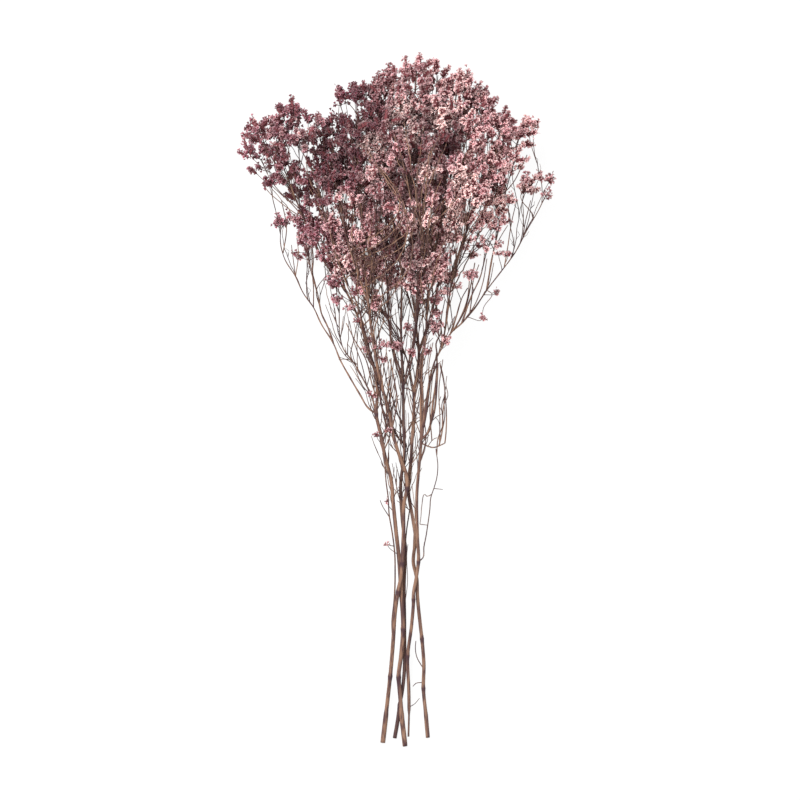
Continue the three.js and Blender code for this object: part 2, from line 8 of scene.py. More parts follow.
import bpy
import numpy as np
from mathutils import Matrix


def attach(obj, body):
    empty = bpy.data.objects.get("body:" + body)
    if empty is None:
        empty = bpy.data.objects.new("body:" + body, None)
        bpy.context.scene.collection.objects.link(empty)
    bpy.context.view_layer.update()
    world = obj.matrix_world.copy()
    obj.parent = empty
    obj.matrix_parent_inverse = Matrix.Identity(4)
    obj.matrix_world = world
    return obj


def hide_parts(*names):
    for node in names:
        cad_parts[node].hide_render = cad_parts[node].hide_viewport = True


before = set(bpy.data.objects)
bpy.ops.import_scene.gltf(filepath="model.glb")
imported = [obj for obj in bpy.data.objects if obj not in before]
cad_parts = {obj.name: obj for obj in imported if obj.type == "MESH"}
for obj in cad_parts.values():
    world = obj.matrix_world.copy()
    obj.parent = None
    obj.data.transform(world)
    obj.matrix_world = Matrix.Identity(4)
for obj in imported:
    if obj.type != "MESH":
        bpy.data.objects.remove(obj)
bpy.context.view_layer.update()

bl_info = {
    "name": "Dried Flower Bunch",
    "version": (1, 0, 0),
    "blender": (4, 5, 0),
    "location": "3D View > Sidebar > Bunch",
    "description": "Dresses the solids of a lying bunch of dried flower branches",
    "category": "Object",
}

BODY = "root"
MM = 0.001

# How the bunch lies, mm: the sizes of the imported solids.
BUNCH_END = -345  # where the cut ends lie along Y
END_HEIGHT = 2.3  # height of the bunch's middle line at the cut ends
RISE = 0.13  # how much that line rises for each mm along Y
FAN_POINT = np.array([0.0, -80.0, 62.0])  # the sprays lean away from here
FAN_DEPTH = 1.6  # how much more they lean up and down than to the sides
WHOLE_BUNCH = 1000  # further than any two places of the bunch lie apart

# Air between the solids, mm.
SEAT_GAP = 0.3  # between a spray and the wood that carries it
CLEAR = 0.5  # between solids that the clearance tests keep apart
FACE_GAP = 0.2  # between the spikes of one spray

# Limbs and twigs of the solids, mm. A pair is the size at the foot and at the end.
SAMPLE = 2  # distance between the samples along a limb
LIMB_RADIUS = (1.45, 0.95)
TWIG_RADIUS = (1.0, 0.85)
SWELL = 1.22  # a node's radius, as a share of the plain one
END_SHARE = 0.1  # how far the radius of the cut end holds, as a share of the bare length
TAPER = (0.5, 1.6)  # where the main limb starts and stops getting thinner, in the same shares
FORK_BACK = 12  # how far behind its spray a twig leaves its limb, at the least
FORK_SLOPE = 0.9  # and how much further for each mm to the side
TWIG_SHIFTS = (0, 5, 10, 15, 20, 26)  # how far a twig may bow aside
TWIG_WAYS = 8  # and to how many sides
TWIG_STEPS = 4
HEART = (0.35, 0.3)  # a spray's middle and the radius round it, as shares of its reach

# Spikes of a spray. Shares are of the spray's reach, angles in radians.
SEED = 20251
SPRAY_CONES = (1.2, 0.75)  # how far the lowest and the highest spikes stand out
SPIKE_TURN = math.pi / 3  # from one pair of spikes to the next
SPIKE_EVERY = 3.1  # mm of reach for each spike
FEWEST_SPIKES = 4
PITCH_SHARE = 0.17
SIDE_SHARE = 0.82
TOP_SHARE = 0.55
NECK_SHARE = 0.38
NECK_RADIUS = 1.0
FLORET_RADIUS = 5.4
FLORET_SHARE = 0.22
LENGTH_SPREAD = 0.12
RADIUS_SPREAD = 0.08
SHRINKS = (1, 0.84, 0.7, 0.58)
TILTS = (0, -0.2, 0.2, -0.4, 0.4)
TURNS = (0, 0.25, -0.25, 0.5, -0.5, 0.75, -0.75)

# Spheres along a spike's bare neck and then along its florets: (share of the way, share of the radius).
NECK_SPHERES = ((0.75, 1.1), (1, 1.4))
FLORET_SPHERES = ((0.2, 0.6), (0.42, 1.1), (0.6, 0.8), (0.8, 1), (1, 0.35))

# The seeded draws of the solids: each state is the one before times a factor, plus a step.
DRAW_FACTOR = 1664525
DRAW_STEP = 1013904223
DRAW_RANGE = 2**32

# Each stem: its radii at the cut end, the middle and the crown, the places of its nodes along Y, its limbs
# as (reach of the spray at the end, route), and its other sprays as (limb, x, y, z of the middle, reach).
# A route's points are (x, y, height above the rising line of the bunch).
STEMS = {
    "stem_1": {
        "radii": (2.5, 2, 1.1),
        "swells": (-274.5, -188.5, -159.5, -83.5),
        "limbs": {
            "main": (28, [
                (-16.5, -341.5, -0.6), (-10.5, -288.5, 0.5), (-9, -274.5, 1), (-6, -238.5, 3),
                (-4, -208.5, 3.6), (-1, -188.5, 4.2), (2, -173.5, 4.4), (3, -159.5, 4.5),
                (4.5, -128.5, 5), (5, -99.5, 5), (8, -83.5, 5), (7, -69.5, 5), (3, -58.5, 5),
                (-1, -47.5, 5), (-6, -29.5, 5), (-12, 0.5, 6), (-17, 16.5, 7), (-25, 56.5, 12),
                (-31, 101.5, 20), (-35, 151.5, 28), (-38, 201.5, 36),
            ]),
            "left": (26, [
                (-31, 101.5, 20), (-41, 130, 22), (-52, 165, 24), (-60, 205, 24),
            ]),
            "arm": (14, [
                (-35, 151.5, 28), (-37, 180, 20), (-41, 225, 13), (-49, 270, 8), (-58, 297, 3),
            ]),
            "front": (28, [
                (-31, 101.5, 20), (-26, 145, 34), (-19, 185, 44), (-14, 216, 50),
            ]),
        },
        "sprays": [
            ("main", -47, 262, 112, 28), ("front", -14, 272, 119, 28), ("front", 3, 197, 140, 26),
            ("arm", -33, 307, 92, 25), ("main", -28, 172, 104, 25), ("left", -65, 252, 88, 25),
        ],
    },
    "stem_2": {
        "radii": (2, 1.8, 1.1),
        "swells": (-303.5, -143.5, 18.5),
        "limbs": {
            "main": (28, [
                (-4.5, -337, -1.5), (-1, -316.5, -1.6), (0.5, -303.5, -1.8), (2.5, -293.5, -2.3),
                (4.5, -278.5, -2.4), (5.5, -226.5, -4), (5, -183.5, -5), (6, -143.5, -5), (3, -113.5, -5),
                (2, -74.5, -5), (5, -55.5, -4), (4.5, -18.5, -2), (4, 18.5, 0), (3, 41.5, 0),
                (2, 81.5, 0), (3, 121.5, 4), (6, 166.5, 8), (9, 216.5, 12), (13, 262, 14),
            ]),
            "left": (26, [
                (4, 18.5, 0), (-2, 36.5, 2), (-6, 51.5, 4), (-10, 81.5, 6), (-12, 121.5, 8),
                (-13, 171.5, 6), (-12, 221.5, 2), (-10, 262, -4),
            ]),
            "right": (28, [
                (4, 18.5, 0), (9, 29.5, 3), (13, 46.5, 6), (18, 81.5, 12), (21, 121.5, 22),
                (23, 161.5, 36), (27, 192, 46),
            ]),
        },
        "sprays": [
            ("left", -7, 317, 72, 25), ("main", 17, 325, 108, 28), ("main", 38, 320, 78, 28),
            ("right", 20, 141, 113, 24), ("left", -8, 150, 92, 22), ("right", 12, 250, 139, 28),
            ("right", 38, 283, 124, 28), ("right", 47, 230, 136, 26),
        ],
    },
    "stem_3": {
        "radii": (2.5, 2.1, 1.1),
        "swells": (-275.5, -226.5, -9.5),
        "limbs": {
            "main": (26, [
                (6, -345, -0.4), (4.5, -331.5, 0.6), (3, -318.5, 1.6), (1.8, -303.5, 2.4),
                (0.5, -288.5, 2.6), (-0.5, -275.5, 2.4), (2, -253.5, 1.6), (4, -226.5, 1.2),
                (2, -188.5, 0), (0, -156.5, -0.5), (-3, -128.5, -0.5), (-6, -98.5, -0.5), (-8, -76.5, -1),
                (-11, -63.5, -1), (-15, -48.5, -1), (-18, -31.5, -1), (-23, -9.5, -1), (-22, 6.5, 0),
                (-23, 26.5, 0), (-31, 56.5, 0), (-42, 89.5, 0), (-54, 114.5, 0), (-74, 141.5, 0),
                (-87, 166.5, -1), (-99, 194.5, -2), (-109, 220, -2),
            ]),
            "outer": (14, [
                (-23, -9.5, -1), (-31, -3.5, -2), (-39, 9.5, -3), (-49, 26.5, -4), (-59, 44.5, -6),
                (-66, 61.5, -8), (-78, 80.5, -10), (-86, 97.5, -12), (-96, 111.5, -14),
                (-104, 128.5, -16), (-115, 146.5, -19), (-119, 161.5, -21), (-119, 176, -23),
            ]),
            "under": (24, [
                (-66, 61.5, -8), (-71, 76.5, -14), (-78, 91.5, -22), (-82, 111.5, -32), (-90, 143, -46),
            ]),
            "second": (0, [
                (-23, -9.5, -1), (-28, 9.5, -1), (-34, 21.5, -1), (-44, 39.5, -1), (-57, 58.5, -1),
                (-59, 66.5, -1), (-60, 93, -1),
            ]),
            "lobe": (26, [
                (-54, 114.5, 0), (-62, 150, 6), (-74, 190, 12), (-83, 220, 16),
            ]),
        },
        "sprays": [
            ("main", -139, 272, 74, 26), ("main", -137, 243, 49, 24), ("lobe", -114, 283, 88, 26),
            ("lobe", -95, 264, 106, 26), ("lobe", -81, 274, 72, 24), ("under", -99, 217, 16, 25),
            ("lobe", -80, 172, 82, 24),
        ],
    },
    "stem_4": {
        "radii": (0.95, 1.7, 1.1),
        "swells": (-253.5, -196.5, -158.5),
        "limbs": {
            "main": (28, [
                (9.5, -335.5, -2.7), (10, -311.5, -3), (9.8, -288.5, -1.8), (8.7, -253.5, -1),
                (12.5, -223.5, 1), (14.5, -196.5, 2), (14.5, -191.5, 2), (17, -176.5, 1.4),
                (19.5, -158.5, 1.8), (18.5, -133.5, 2.2), (18, -88.5, 2), (20, -63.5, 2), (22, -38.5, 2),
                (22, 1.5, 3), (24, 51.5, 6), (27, 71.5, 7), (28, 101.5, 9), (33, 141.5, 13),
                (43, 186.5, 18), (52, 228, 22),
            ]),
            "arm": (14, [
                (22, -38.5, 2), (24, -28.5, 3), (25, -13.5, 4), (28, 6.5, 4), (31, 26.5, 4),
                (36, 43.5, 4), (43, 56.5, 3), (52, 71.5, 3), (63, 81.5, 2), (76, 96.5, 1), (88, 114.5, 0),
                (101, 131.5, -2), (111, 144.5, -4), (119, 156.5, -6), (124, 166.5, -8), (131, 179.5, -10),
                (139, 193, -13), (145, 205, -16),
            ]),
            "small": (0, [
                (52, 71.5, 3), (57, 86.5, 0), (64, 108.5, -3), (69, 117, -4),
            ]),
            "middle": (22, [
                (63, 81.5, 2), (73, 109.5, 6), (81, 126.5, 8), (87, 150, 6),
            ]),
            "inner": (26, [
                (43, 56.5, 3), (48, 86.5, 8), (51, 111.5, 14), (56, 139.5, 20), (64, 165, 24),
                (76, 196.5, 26), (84, 223, 24),
            ]),
            "long": (24, [
                (88, 114.5, 0), (94, 150, -6), (101, 180, -12), (107, 212, -18), (111, 228, -20),
            ]),
        },
        "sprays": [
            ("main", 58, 314, 99, 26), ("inner", 82, 301, 72, 26), ("inner", 102, 275, 93, 25),
            ("long", 121, 270, 62, 24), ("arm", 126, 219, 67, 18), ("inner", 68, 173, 85, 24),
            ("main", 67, 266, 124, 26), ("inner", 72, 211, 128, 25),
        ],
    },
    "stem_5": {
        "radii": (2.1, 1.8, 1.1),
        "swells": (-286.5, -236.5, 11.5),
        "limbs": {
            "main": (26, [
                (29, -336.5, -1.6), (27, -313.5, -2), (24.5, -286.5, -2), (25, -263.5, -2),
                (23, -236.5, -2), (21.5, -223.5, -2.2), (18.5, -193.5, -2.6), (17.5, -173.5, -2.3),
                (14.5, -160.5, -2.6), (16.5, -133.5, -3), (14, -116.5, -4), (9.5, -85.5, -4.5),
                (11, -68.5, -4.5), (13, -38.5, -4.5), (15, 1.5, -5), (15, 11.5, -5), (18, 31.5, -6),
                (20, 51.5, -7), (17, 81.5, -10), (19, 121.5, -16), (25, 152, -19), (30, 180, -23),
            ]),
            "left": (26, [
                (15, 11.5, -5), (8, 45, -14), (-6, 76, -26), (-26, 108, -39), (-44, 132, -48),
            ]),
            "right": (26, [
                (20, 51.5, -7), (34, 90, -20), (48, 120, -34), (63, 146, -46),
            ]),
            "under": (26, [
                (17, 81.5, -10), (9, 110, -26), (0, 144, -46),
            ]),
        },
        "sprays": [
            ("left", -25, 131, 54, 22), ("left", -45, 195, 22, 26), ("main", 15, 238, 36, 26),
            ("right", 85, 208, 18, 25), ("right", 42, 130, 40, 24), ("left", -52, 150, 52, 22),
        ],
    },
}

# Fine bare twigs of each stem: (height of the end above the rising line, radius, points as (x, y)).
FINE_TWIGS = {
    "stem_1": [
        (7, 0.8, [(-8.5, -239.5), (-7, -218.5), (-5, -198.5), (-4, -168.5), (-4.5, -148.5),
                  (-7, -128.5), (-10, -110.5), (-11, -93.5), (-13, -78.5), (-15, -40)]),
        (9, 0.4, [(-6, -141.5), (-11, -141.5)]),
        (9, 0.4, [(-11, -114.5), (-17, -101.5), (-19, -96.5)]),
        (24, 0.4, [(-38, 255), (-42, 289.5), (-51, 301.5)]),
        (14, 0.8, [(-11, -23.5), (-14, -10.5), (-18, -0.5), (-19, 16.5), (-23, 33.5), (-29, 46.5),
                   (-34, 61.5), (-38, 83.5), (-37, 105)]),
        (10, 0.6, [(-3, -43.5), (-6, -23.5), (-8, -3.5), (-11, 16.5), (-15, 36.5), (-18, 51.5),
                   (-20, 66.5), (-22, 86.5), (-27, 105)]),
        (12, 0.8, [(-6, -50), (-7, -30), (-4, -10), (-2, 5), (-4, 20), (-9, 45)]),
        (18, 0.5, [(-30, 60), (-26, 80), (-23, 100)]),
    ],
    "stem_2": [
        (1, 0.6, [(6, -143.5), (8, -123.5), (10, -110.5), (11, -103.5), (9.5, -85.5), (12, -40)]),
        (8, 0.6, [(2, -23.5), (-1, -10.5), (-5, 1.5), (-9, 16.5), (-8, 31.5), (-8, 46.5)]),
        (6, 0.5, [(2, -38.5), (-1, -33.5), (-5, -26.5), (-8, -8.5), (-13, 4.5), (-16, 16.5)]),
        (9, 0.35, [(-2, -13.5), (-5, -3.5), (-3, 3.5), (1, 5.5)]),
        (10, 0.35, [(0, -26.5), (-3, -18.5), (-6, -10.5), (-5, 1.5), (0, 9.5)]),
        (12, 1.0, [(4, 19.5), (1, 33.5), (-4, 49.5), (-8, 66.5), (-11, 83.5), (-15, 101.5), (-18, 120)]),
        (14, 0.9, [(5, 21.5), (8, 35.5), (12, 51.5), (15, 69.5), (17, 86.5), (19, 110)]),
        (4, 0.7, [(3, 26.5), (3, 46.5), (2, 71.5), (3, 96.5), (3, 120)]),
        (5, 0.7, [(2, 66.5), (0, 75.5), (-5, 81.5), (-8, 89.5), (-10, 105)]),
        (8, 0.5, [(5, 17.5), (10, 15.5), (14, 12.5), (17, 11.5)]),
        (16, 0.5, [(1, -45), (-2, -30), (-8, -18), (-10, -2), (-7, 12), (-3, 28)]),
        (10, 0.55, [(3, -40), (1, -15), (2, 10), (0, 35)]),
        (3, 0.25, [(6.5, -205), (8.5, -180), (8, -150), (9, -141)]),
    ],
    "stem_3": [
        (3, 0.5, [(-44, 39.5), (-48, 46.5), (-45, 66.5), (-42, 81.5)]),
        (4, 0.6, [(-23, 6.5), (-26, 16.5), (-34, 46.5), (-44, 63.5), (-53, 81.5)]),
        (-6, 0.5, [(-78, 91.5), (-82, 111.5), (-83, 114.5), (-92, 146.5)]),
        (-4, 0.4, [(-80, 95), (-83, 114.5), (-73, 129.5)]),
        (-8, 0.5, [(-86, 97.5), (-86, 118.5), (-87, 131.5), (-86, 143.5), (-90, 175)]),
        (-12, 0.4, [(-104, 128.5), (-106, 143.5), (-108, 160)]),
        (-12, 0.4, [(-104, 128.5), (-101, 151.5), (-103, 170)]),
        (-14, 0.5, [(-116, 151.5), (-113, 176.5), (-118, 205)]),
        (4, 0.4, [(-94, 186.5), (-99, 194.5), (-116, 208.5), (-127, 218.5)]),
        (2, 0.4, [(-99, 185), (-116, 200), (-122, 205), (-129, 211), (-137, 221.5)]),
        (12, 0.9, [(-11, -38.5), (-13, -23.5), (-16, -8.5), (-19, 6.5), (-22, 21.5), (-26, 41.5),
                   (-30, 56.5), (-35, 76.5), (-41, 96.5), (-47, 115)]),
        (16, 0.8, [(-7, -33.5), (-10, -13.5), (-14, 3.5), (-17, 21.5), (-21, 39.5), (-24, 56.5),
                   (-28, 76.5), (-30, 96.5), (-31, 120)]),
        (18, 0.6, [(-5, -45), (-9, -30), (-12, -12), (-14, 5), (-17, 25), (-20, 45), (-26, 75)]),
        (20, 0.4, [(-14, -10), (-10, 2), (-8, 10), (-12, 20)]),
        (14, 0.5, [(-14, -20), (-12, 5), (-10, 30), (-13, 55)]),
        (5, 0.45, [(-30, 20), (-38, 42), (-45, 62), (-50, 84)]),
        (8, 0.45, [(-22, 25), (-30, 50), (-36, 76), (-40, 98)]),
        (12, 0.45, [(-12, -5), (-8, 15), (-6, 38), (-4, 60)]),
        (22, 0.6, [(-27, 60), (-25, 75), (-20, 90), (-16, 108)]),
        (20, 0.4, [(-34, 72), (-27, 82), (-26, 96), (-20, 104)]),
    ],
    "stem_4": [
        (4, 0.5, [(22, -46.5), (17, -54), (12, -60.5)]),
        (5, 0.5, [(21, -157.5), (24, -154.5), (25, -143.5), (27, -133.5), (29, -120.5), (31, -105.5),
                  (32, -93.5), (35, -84.5), (38, -73.5), (39, -63.5), (37, -44.5)]),
        (5, 0.35, [(33, -89.5), (28, -92.5), (26, -90.5), (23, -101.5), (22, -113.5), (21, -120.5)]),
        (5, 0.3, [(35, -85.5), (44, -85.5)]),
        (5, 0.3, [(23, -120.5), (29, -121.5)]),
        (6, 0.7, [(25, -38.5), (29, -42), (33, -43.2), (38, -42.6), (42, -40.8), (46, -39)]),
        (6, 0.6, [(46, -39), (47, -30), (47.5, -8.5), (47, 1.5), (45, 21.5), (41, 39.5)]),
        (6, 0.5, [(39, 50), (43, 66.5), (42, 81.5), (46, 105)]),
        (0, 0.5, [(106, 137), (108, 151.5), (113, 183.5), (118, 205)]),
        (-4, 0.4, [(97, 155), (103, 170), (109, 179.5)]),
        (-6, 0.45, [(124, 166.5), (126, 179.5), (132, 204.5)]),
        (10, 0.5, [(82, 205), (101, 209), (114, 221.5), (122, 236.5), (128, 249.5)]),
        (2, 0.35, [(82, 107), (88, 114.5), (93, 111.5), (96, 112.5)]),
        (2, 0.3, [(88, 114.5), (93, 111.5), (85, 97.5), (83, 88)]),
        (3, 0.3, [(12, -305.5), (16, -302), (20.6, -296.5)]),
        (8, 1.3, [(25, -23.5), (27, -8.5), (29, 6.5), (32, 25.5), (35, 33.5), (38, 41.5)]),
        (5, 1.2, [(26, -36.5), (30, -26.5), (32, -16.5), (34, 1.5), (37, 21.5), (38, 36.5), (38, 51.5)]),
        (9, 1.1, [(32, -18.5), (35, -8.5), (37, 6.5), (38, 21.5), (39, 41.5)]),
        (3, 0.7, [(42, -44.5), (43, -28.5), (44, -8.5), (46, 11.5), (44, 29.5), (41, 41.5)]),
        (4, 0.3, [(34, -16.5), (39, -11.5), (43, -9.5)]),
        (4, 0.3, [(38, -36.5), (41, -25.5), (39, -15.5), (36, -12.5)]),
        (5, 0.3, [(30, -40.5), (33, -36.5), (38, -33.5), (42, -36.5)]),
        (6, 0.35, [(46, 0), (49, 8.5), (47, 20.5), (48, 28.5)]),
        (9, 0.7, [(38, 51.5), (37, 60.5), (42, 72.5), (41, 84.5), (38, 96.5), (33, 110.5)]),
        (8, 0.6, [(44, 58), (47, 81.5), (49, 101.5), (48, 120)]),
        (10, 0.8, [(22, -45), (24, -15), (24, 10), (23, 30), (27, 65)]),
        (6, 0.5, [(40, -50), (39, -35), (44, -20), (43, 0), (47, 12)]),
        (11, 0.5, [(28, 0), (30, 20), (30, 40), (34, 62)]),
        (7, 0.5, [(29, -35), (31, -5), (33, 22), (38, 55)]),
        (5, 0.5, [(40, -38), (41, -12), (40, 15), (44, 45)]),
        (4, 0.5, [(24, -60), (27, -35), (25, -10), (29, 15)]),
        (4, 0.7, [(58, 70), (66, 95), (72, 120), (76, 142)]),
        (6, 0.6, [(54, 66), (60, 84), (68, 104), (71, 130)]),
        (9, 0.5, [(70, 90), (73, 108), (74, 122), (80, 140)]),
        (8, 0.5, [(66, 82), (76, 100), (84, 122), (88, 146)]),
        (2, 0.4, [(56, 72), (52, 95), (50, 118), (55, 142)]),
        (3, 0.4, [(72, 92), (82, 106), (90, 120), (95, 142)]),
        (4, 0.45, [(43, -32), (46, -10), (45, 5), (47, 18)]),
        (5, 0.3, [(44, -8), (40, 0), (42, 8)]),
        (5, 0.3, [(15.5, -172), (14.5, -160), (14.5, -138), (16, -110), (13, -80)]),
    ],
    "stem_5": [
        (2, 0.45, [(23, -266.5), (17.5, -253.5), (16.5, -246.5), (17, -238.5)]),
        (2, 0.4, [(23, -281), (17, -281.5), (14, -284.5)]),
        (6, 0.45, [(16, 12.5), (12, 26.5), (10, 41.5), (12, 60)]),
        (10, 0.8, [(14, -50), (15, -25), (15, 0), (17, 12), (20, 25), (22, 50)]),
    ],
}

# Long bare twigs of each stem that lie on the crown's upper side, as points (x, y).
FRONT_TWIGS = {
    "stem_1": [
        [(-20, 90), (-26, 135), (-30, 165), (-26, 190)],
    ],
    "stem_3": [
        [(19, 140), (15, 186), (9, 216), (1, 250), (-7, 272)],
        [(19, 150), (17, 196), (13, 231), (9, 256), (5, 281)],
        [(11, 160), (-1, 206), (-14, 226), (-27, 246), (-37, 259)],
        [(13, 150), (1, 201), (-11, 219), (-21, 236)],
        [(-30, 90), (-42, 140), (-47, 170), (-44, 196)],
        [(-40, 90), (-56, 130), (-66, 160), (-70, 184)],
        [(4, 90), (2, 130), (-2, 160), (-8, 186)],
        [(10, 110), (13, 146), (10, 180), (2, 206), (-6, 222)],
        [(8, 130), (8, 176), (4, 200), (-4, 216), (-16, 232), (-30, 244)],
        [(-14, 90), (-16, 126), (-14, 156), (-18, 180)],
    ],
    "stem_4": [
        [(19, 160), (21, 201), (25, 221), (33, 251), (41, 269)],
        [(20, 170), (26, 206), (37, 236), (47, 259)],
        [(19, 150), (20, 191), (18, 221), (21, 251), (25, 276)],
        [(26, 150), (33, 186), (43, 201), (53, 211)],
        [(50, 120), (64, 160), (76, 182), (92, 204)],
        [(56, 110), (72, 150), (86, 178), (98, 190)],
        [(16, 90), (22, 130), (26, 155), (34, 176)],
        [(24, 110), (23, 150), (19, 186), (12, 206), (5, 226), (-3, 246)],
        [(27, 110), (29, 150), (30, 182), (35, 206), (44, 228)],
        [(22, 120), (24, 160), (24, 196), (28, 224), (30, 246), (36, 262)],
        [(26, 130), (31, 160), (40, 186), (52, 198), (60, 210)],
        [(30, 90), (33, 124), (40, 150), (48, 168)],
    ],
}

# Small flower clusters below the crown: (x, y, number of spikes, length of a spike, mm).
SMALL_CLUSTERS = [
    (-11, -141.5, 1, 4), (-22, -31.5, 2, 5), (-10, -26.5, 2, 5), (-28, 9.5, 2, 6), (-32, 54.5, 3, 7),
    (-22, 56.5, 2, 6), (-17, 44.5, 2, 6), (-6, 58.5, 4, 8), (11, 51.5, 3, 7), (28, 53.5, 3, 7),
    (35, 79.5, 5, 9), (47, 61.5, 2, 6), (45, 111.5, 4, 8), (-26, 98.5, 4, 8), (-68, 121.5, 3, 8),
    (100, 150.5, 2, 6), (109, 149.5, 2, 6), (17, 119.5, 4, 8), (96, 112.5, 2, 4), (83, 86.5, 3, 5),
    (-63, 103.5, 5, 9), (72, 129, 6, 9), (-42, 83, 2, 6), (8, 77, 3, 7), (-12, -98, 1, 4),
    (-119, 184, 3, 8), (-110, 188, 4, 9), (-102, 184, 3, 8), (-16, 60, 3, 6), (-2, 58, 4, 7),
    (46, 66, 3, 6), (38, 90, 4, 8), (36, 74, 3, 7), (-48, 96, 3, 7), (58, 118, 3, 7), (-30, 64, 3, 6),
]

# Small panicles that stand out in front, each at the end of a long bare twig: (x, y, z, size).
FRONT_PANICLES = [
    (-32, 258, 146, 17), (-14, 272, 152, 17), (2, 262, 157, 17), (16, 277, 154, 17), (28, 262, 157, 17),
    (44, 270, 148, 17), (-26, 232, 148, 17), (-8, 240, 156, 17), (10, 238, 159, 17), (26, 234, 158, 17),
    (60, 240, 146, 17), (-18, 212, 148, 17), (0, 214, 155, 17), (34, 208, 154, 17), (52, 206, 145, 17),
    (8, 186, 148, 17), (28, 186, 148, 17), (70, 214, 136, 17), (-84, 170, 78, 16), (-68, 182, 96, 16),
    (-76, 152, 72, 16), (-60, 160, 88, 16), (-44, 170, 104, 16), (-48, 146, 86, 16), (-26, 164, 106, 16),
    (-30, 138, 88, 15), (-10, 154, 106, 16), (8, 148, 104, 16), (22, 160, 112, 16), (24, 134, 92, 15),
    (40, 150, 100, 16), (40, 130, 84, 12), (56, 168, 102, 13), (-54, 285, 84, 10), (-62, 136, 74, 14),
    (-42, 118, 76, 13), (-22, 108, 74, 12), (22, 108, 76, 12), (38, 108, 74, 11), (-55, 311, 92, 12),
    (-44, 312, 92, 12), (-34, 304, 92, 12), (1, 309, 104, 15), (26, 311, 106, 15), (46, 306, 104, 15),
    (61, 303, 98, 15), (71, 318, 92, 13), (80, 312, 88, 12), (-92, 290, 88, 13), (-64, 243, 92, 14),
    (-58, 234, 96, 14), (-92, 206, 74, 12), (137, 283, 62, 8), (98, 263, 92, 11), (128, 228, 62, 9),
    (142, 230, 60, 8), (152, 227, 58, 10), (104, 198, 64, 13), (84, 187, 80, 12), (46, 146, 98, 12),
    (-131, 255, 68, 10), (-93, 189, 66, 10), (-70, 276, 90, 11), (68, 330, 94, 11), (131, 285, 76, 8),
    (60, 257, 112, 12), (-97, 197, 64, 9), (-132, 224, 62, 10), (112, 207, 78, 9), (101, 206, 86, 10),
    (-68, 288, 90, 10), (-58, 287, 88, 9), (96, 181, 76, 12), (88, 288, 92, 13), (60, 329, 96, 13),
    (-6, 333, 92, 13), (-16, 327, 92, 13), (-26, 321, 92, 12), (-60, 314, 92, 10), (-46, 316, 92, 11),
    (-114, 250, 84, 10), (-78, 284, 92, 10), (-136, 258, 68, 9), (-54, 284, 92, 11), (-66, 124, 66, 11),
    (0, 226, 138, 14), (-100, 182, 64, 11), (-98, 168, 60, 10), (-118, 297, 88, 9), (-103, 296, 88, 9),
    (-44, 226, 118, 13), (108, 240, 76, 12), (90, 190, 78, 13), (104, 187, 70, 11), (66, 322, 94, 13),
    (79, 317, 90, 12), (84, 306, 90, 12), (-37, 318, 92, 11), (38, 286, 128, 14), (8, 290, 118, 14),
    (-30, 296, 104, 14), (-22, 301, 100, 13),
]

# Outlines of the crown as seen from above, mm: the small panicles fill what lies inside them.
CROWN_OUTLINES = [
    [(-61, 293), (-47, 303), (-27, 317), (-14, 333), (6, 341), (29, 339), (46, 329), (71, 323), (93, 303),
     (106, 289), (131, 277), (129, 256), (121, 236), (106, 216), (97, 202), (80, 192), (58, 182), (48, 162),
     (42, 142), (34, 124), (16, 114), (-9, 117), (-39, 127), (-64, 139), (-84, 151), (-99, 166), (-94, 186),
     (-74, 196), (-87, 206), (-96, 216), (-86, 229), (-81, 251), (-77, 271), (-67, 283)],
    [(-156, 279), (-147, 279), (-137, 263), (-124, 253), (-109, 241), (-96, 227), (-87, 209), (-99, 211),
     (-114, 221), (-134, 219), (-144, 236), (-154, 256)],
    [(-144, 285), (-129, 289), (-117, 302), (-99, 299), (-84, 283), (-88, 277), (-101, 287), (-107, 281),
     (-99, 266), (-103, 251), (-114, 253), (-123, 261), (-137, 266)],
    [(-67, 313), (-54, 307), (-39, 319), (-17, 329), (-4, 326), (-4, 306), (-27, 301), (-49, 299)],
    [(116, 221), (131, 228), (157, 225), (156, 214), (136, 211), (121, 203), (113, 209)],
]

# Where the bunch is more open: (x, y, radius), with slimmer spikes and no filling.
OPEN_PLACES = [
    (-146, 284, 9), (-128, 240, 10), (-104, 236, 9), (-108, 262, 7), (-152, 248, 9), (-131, 221, 11),
    (-92, 150, 20), (-90, 230, 8), (90, 158, 22), (68, 160, 21), (106, 306, 9), (-24, 332, 7),
    (0, 349, 7), (-56, 298, 12), (150, 208, 11), (136, 206, 10), (155, 219, 8), (145, 217, 6),
    (127, 250, 6), (3, 116, 9), (-4, 121, 9), (130, 273, 6), (-158, 254, 6), (116, 232, 9),
    (-134, 210, 8), (-118, 200, 8), (-37, 296, 8), (-2, 110, 8), (-140, 243, 10), (-96, 246, 8),
    (-63, 200, 12), (130, 262, 9),
]

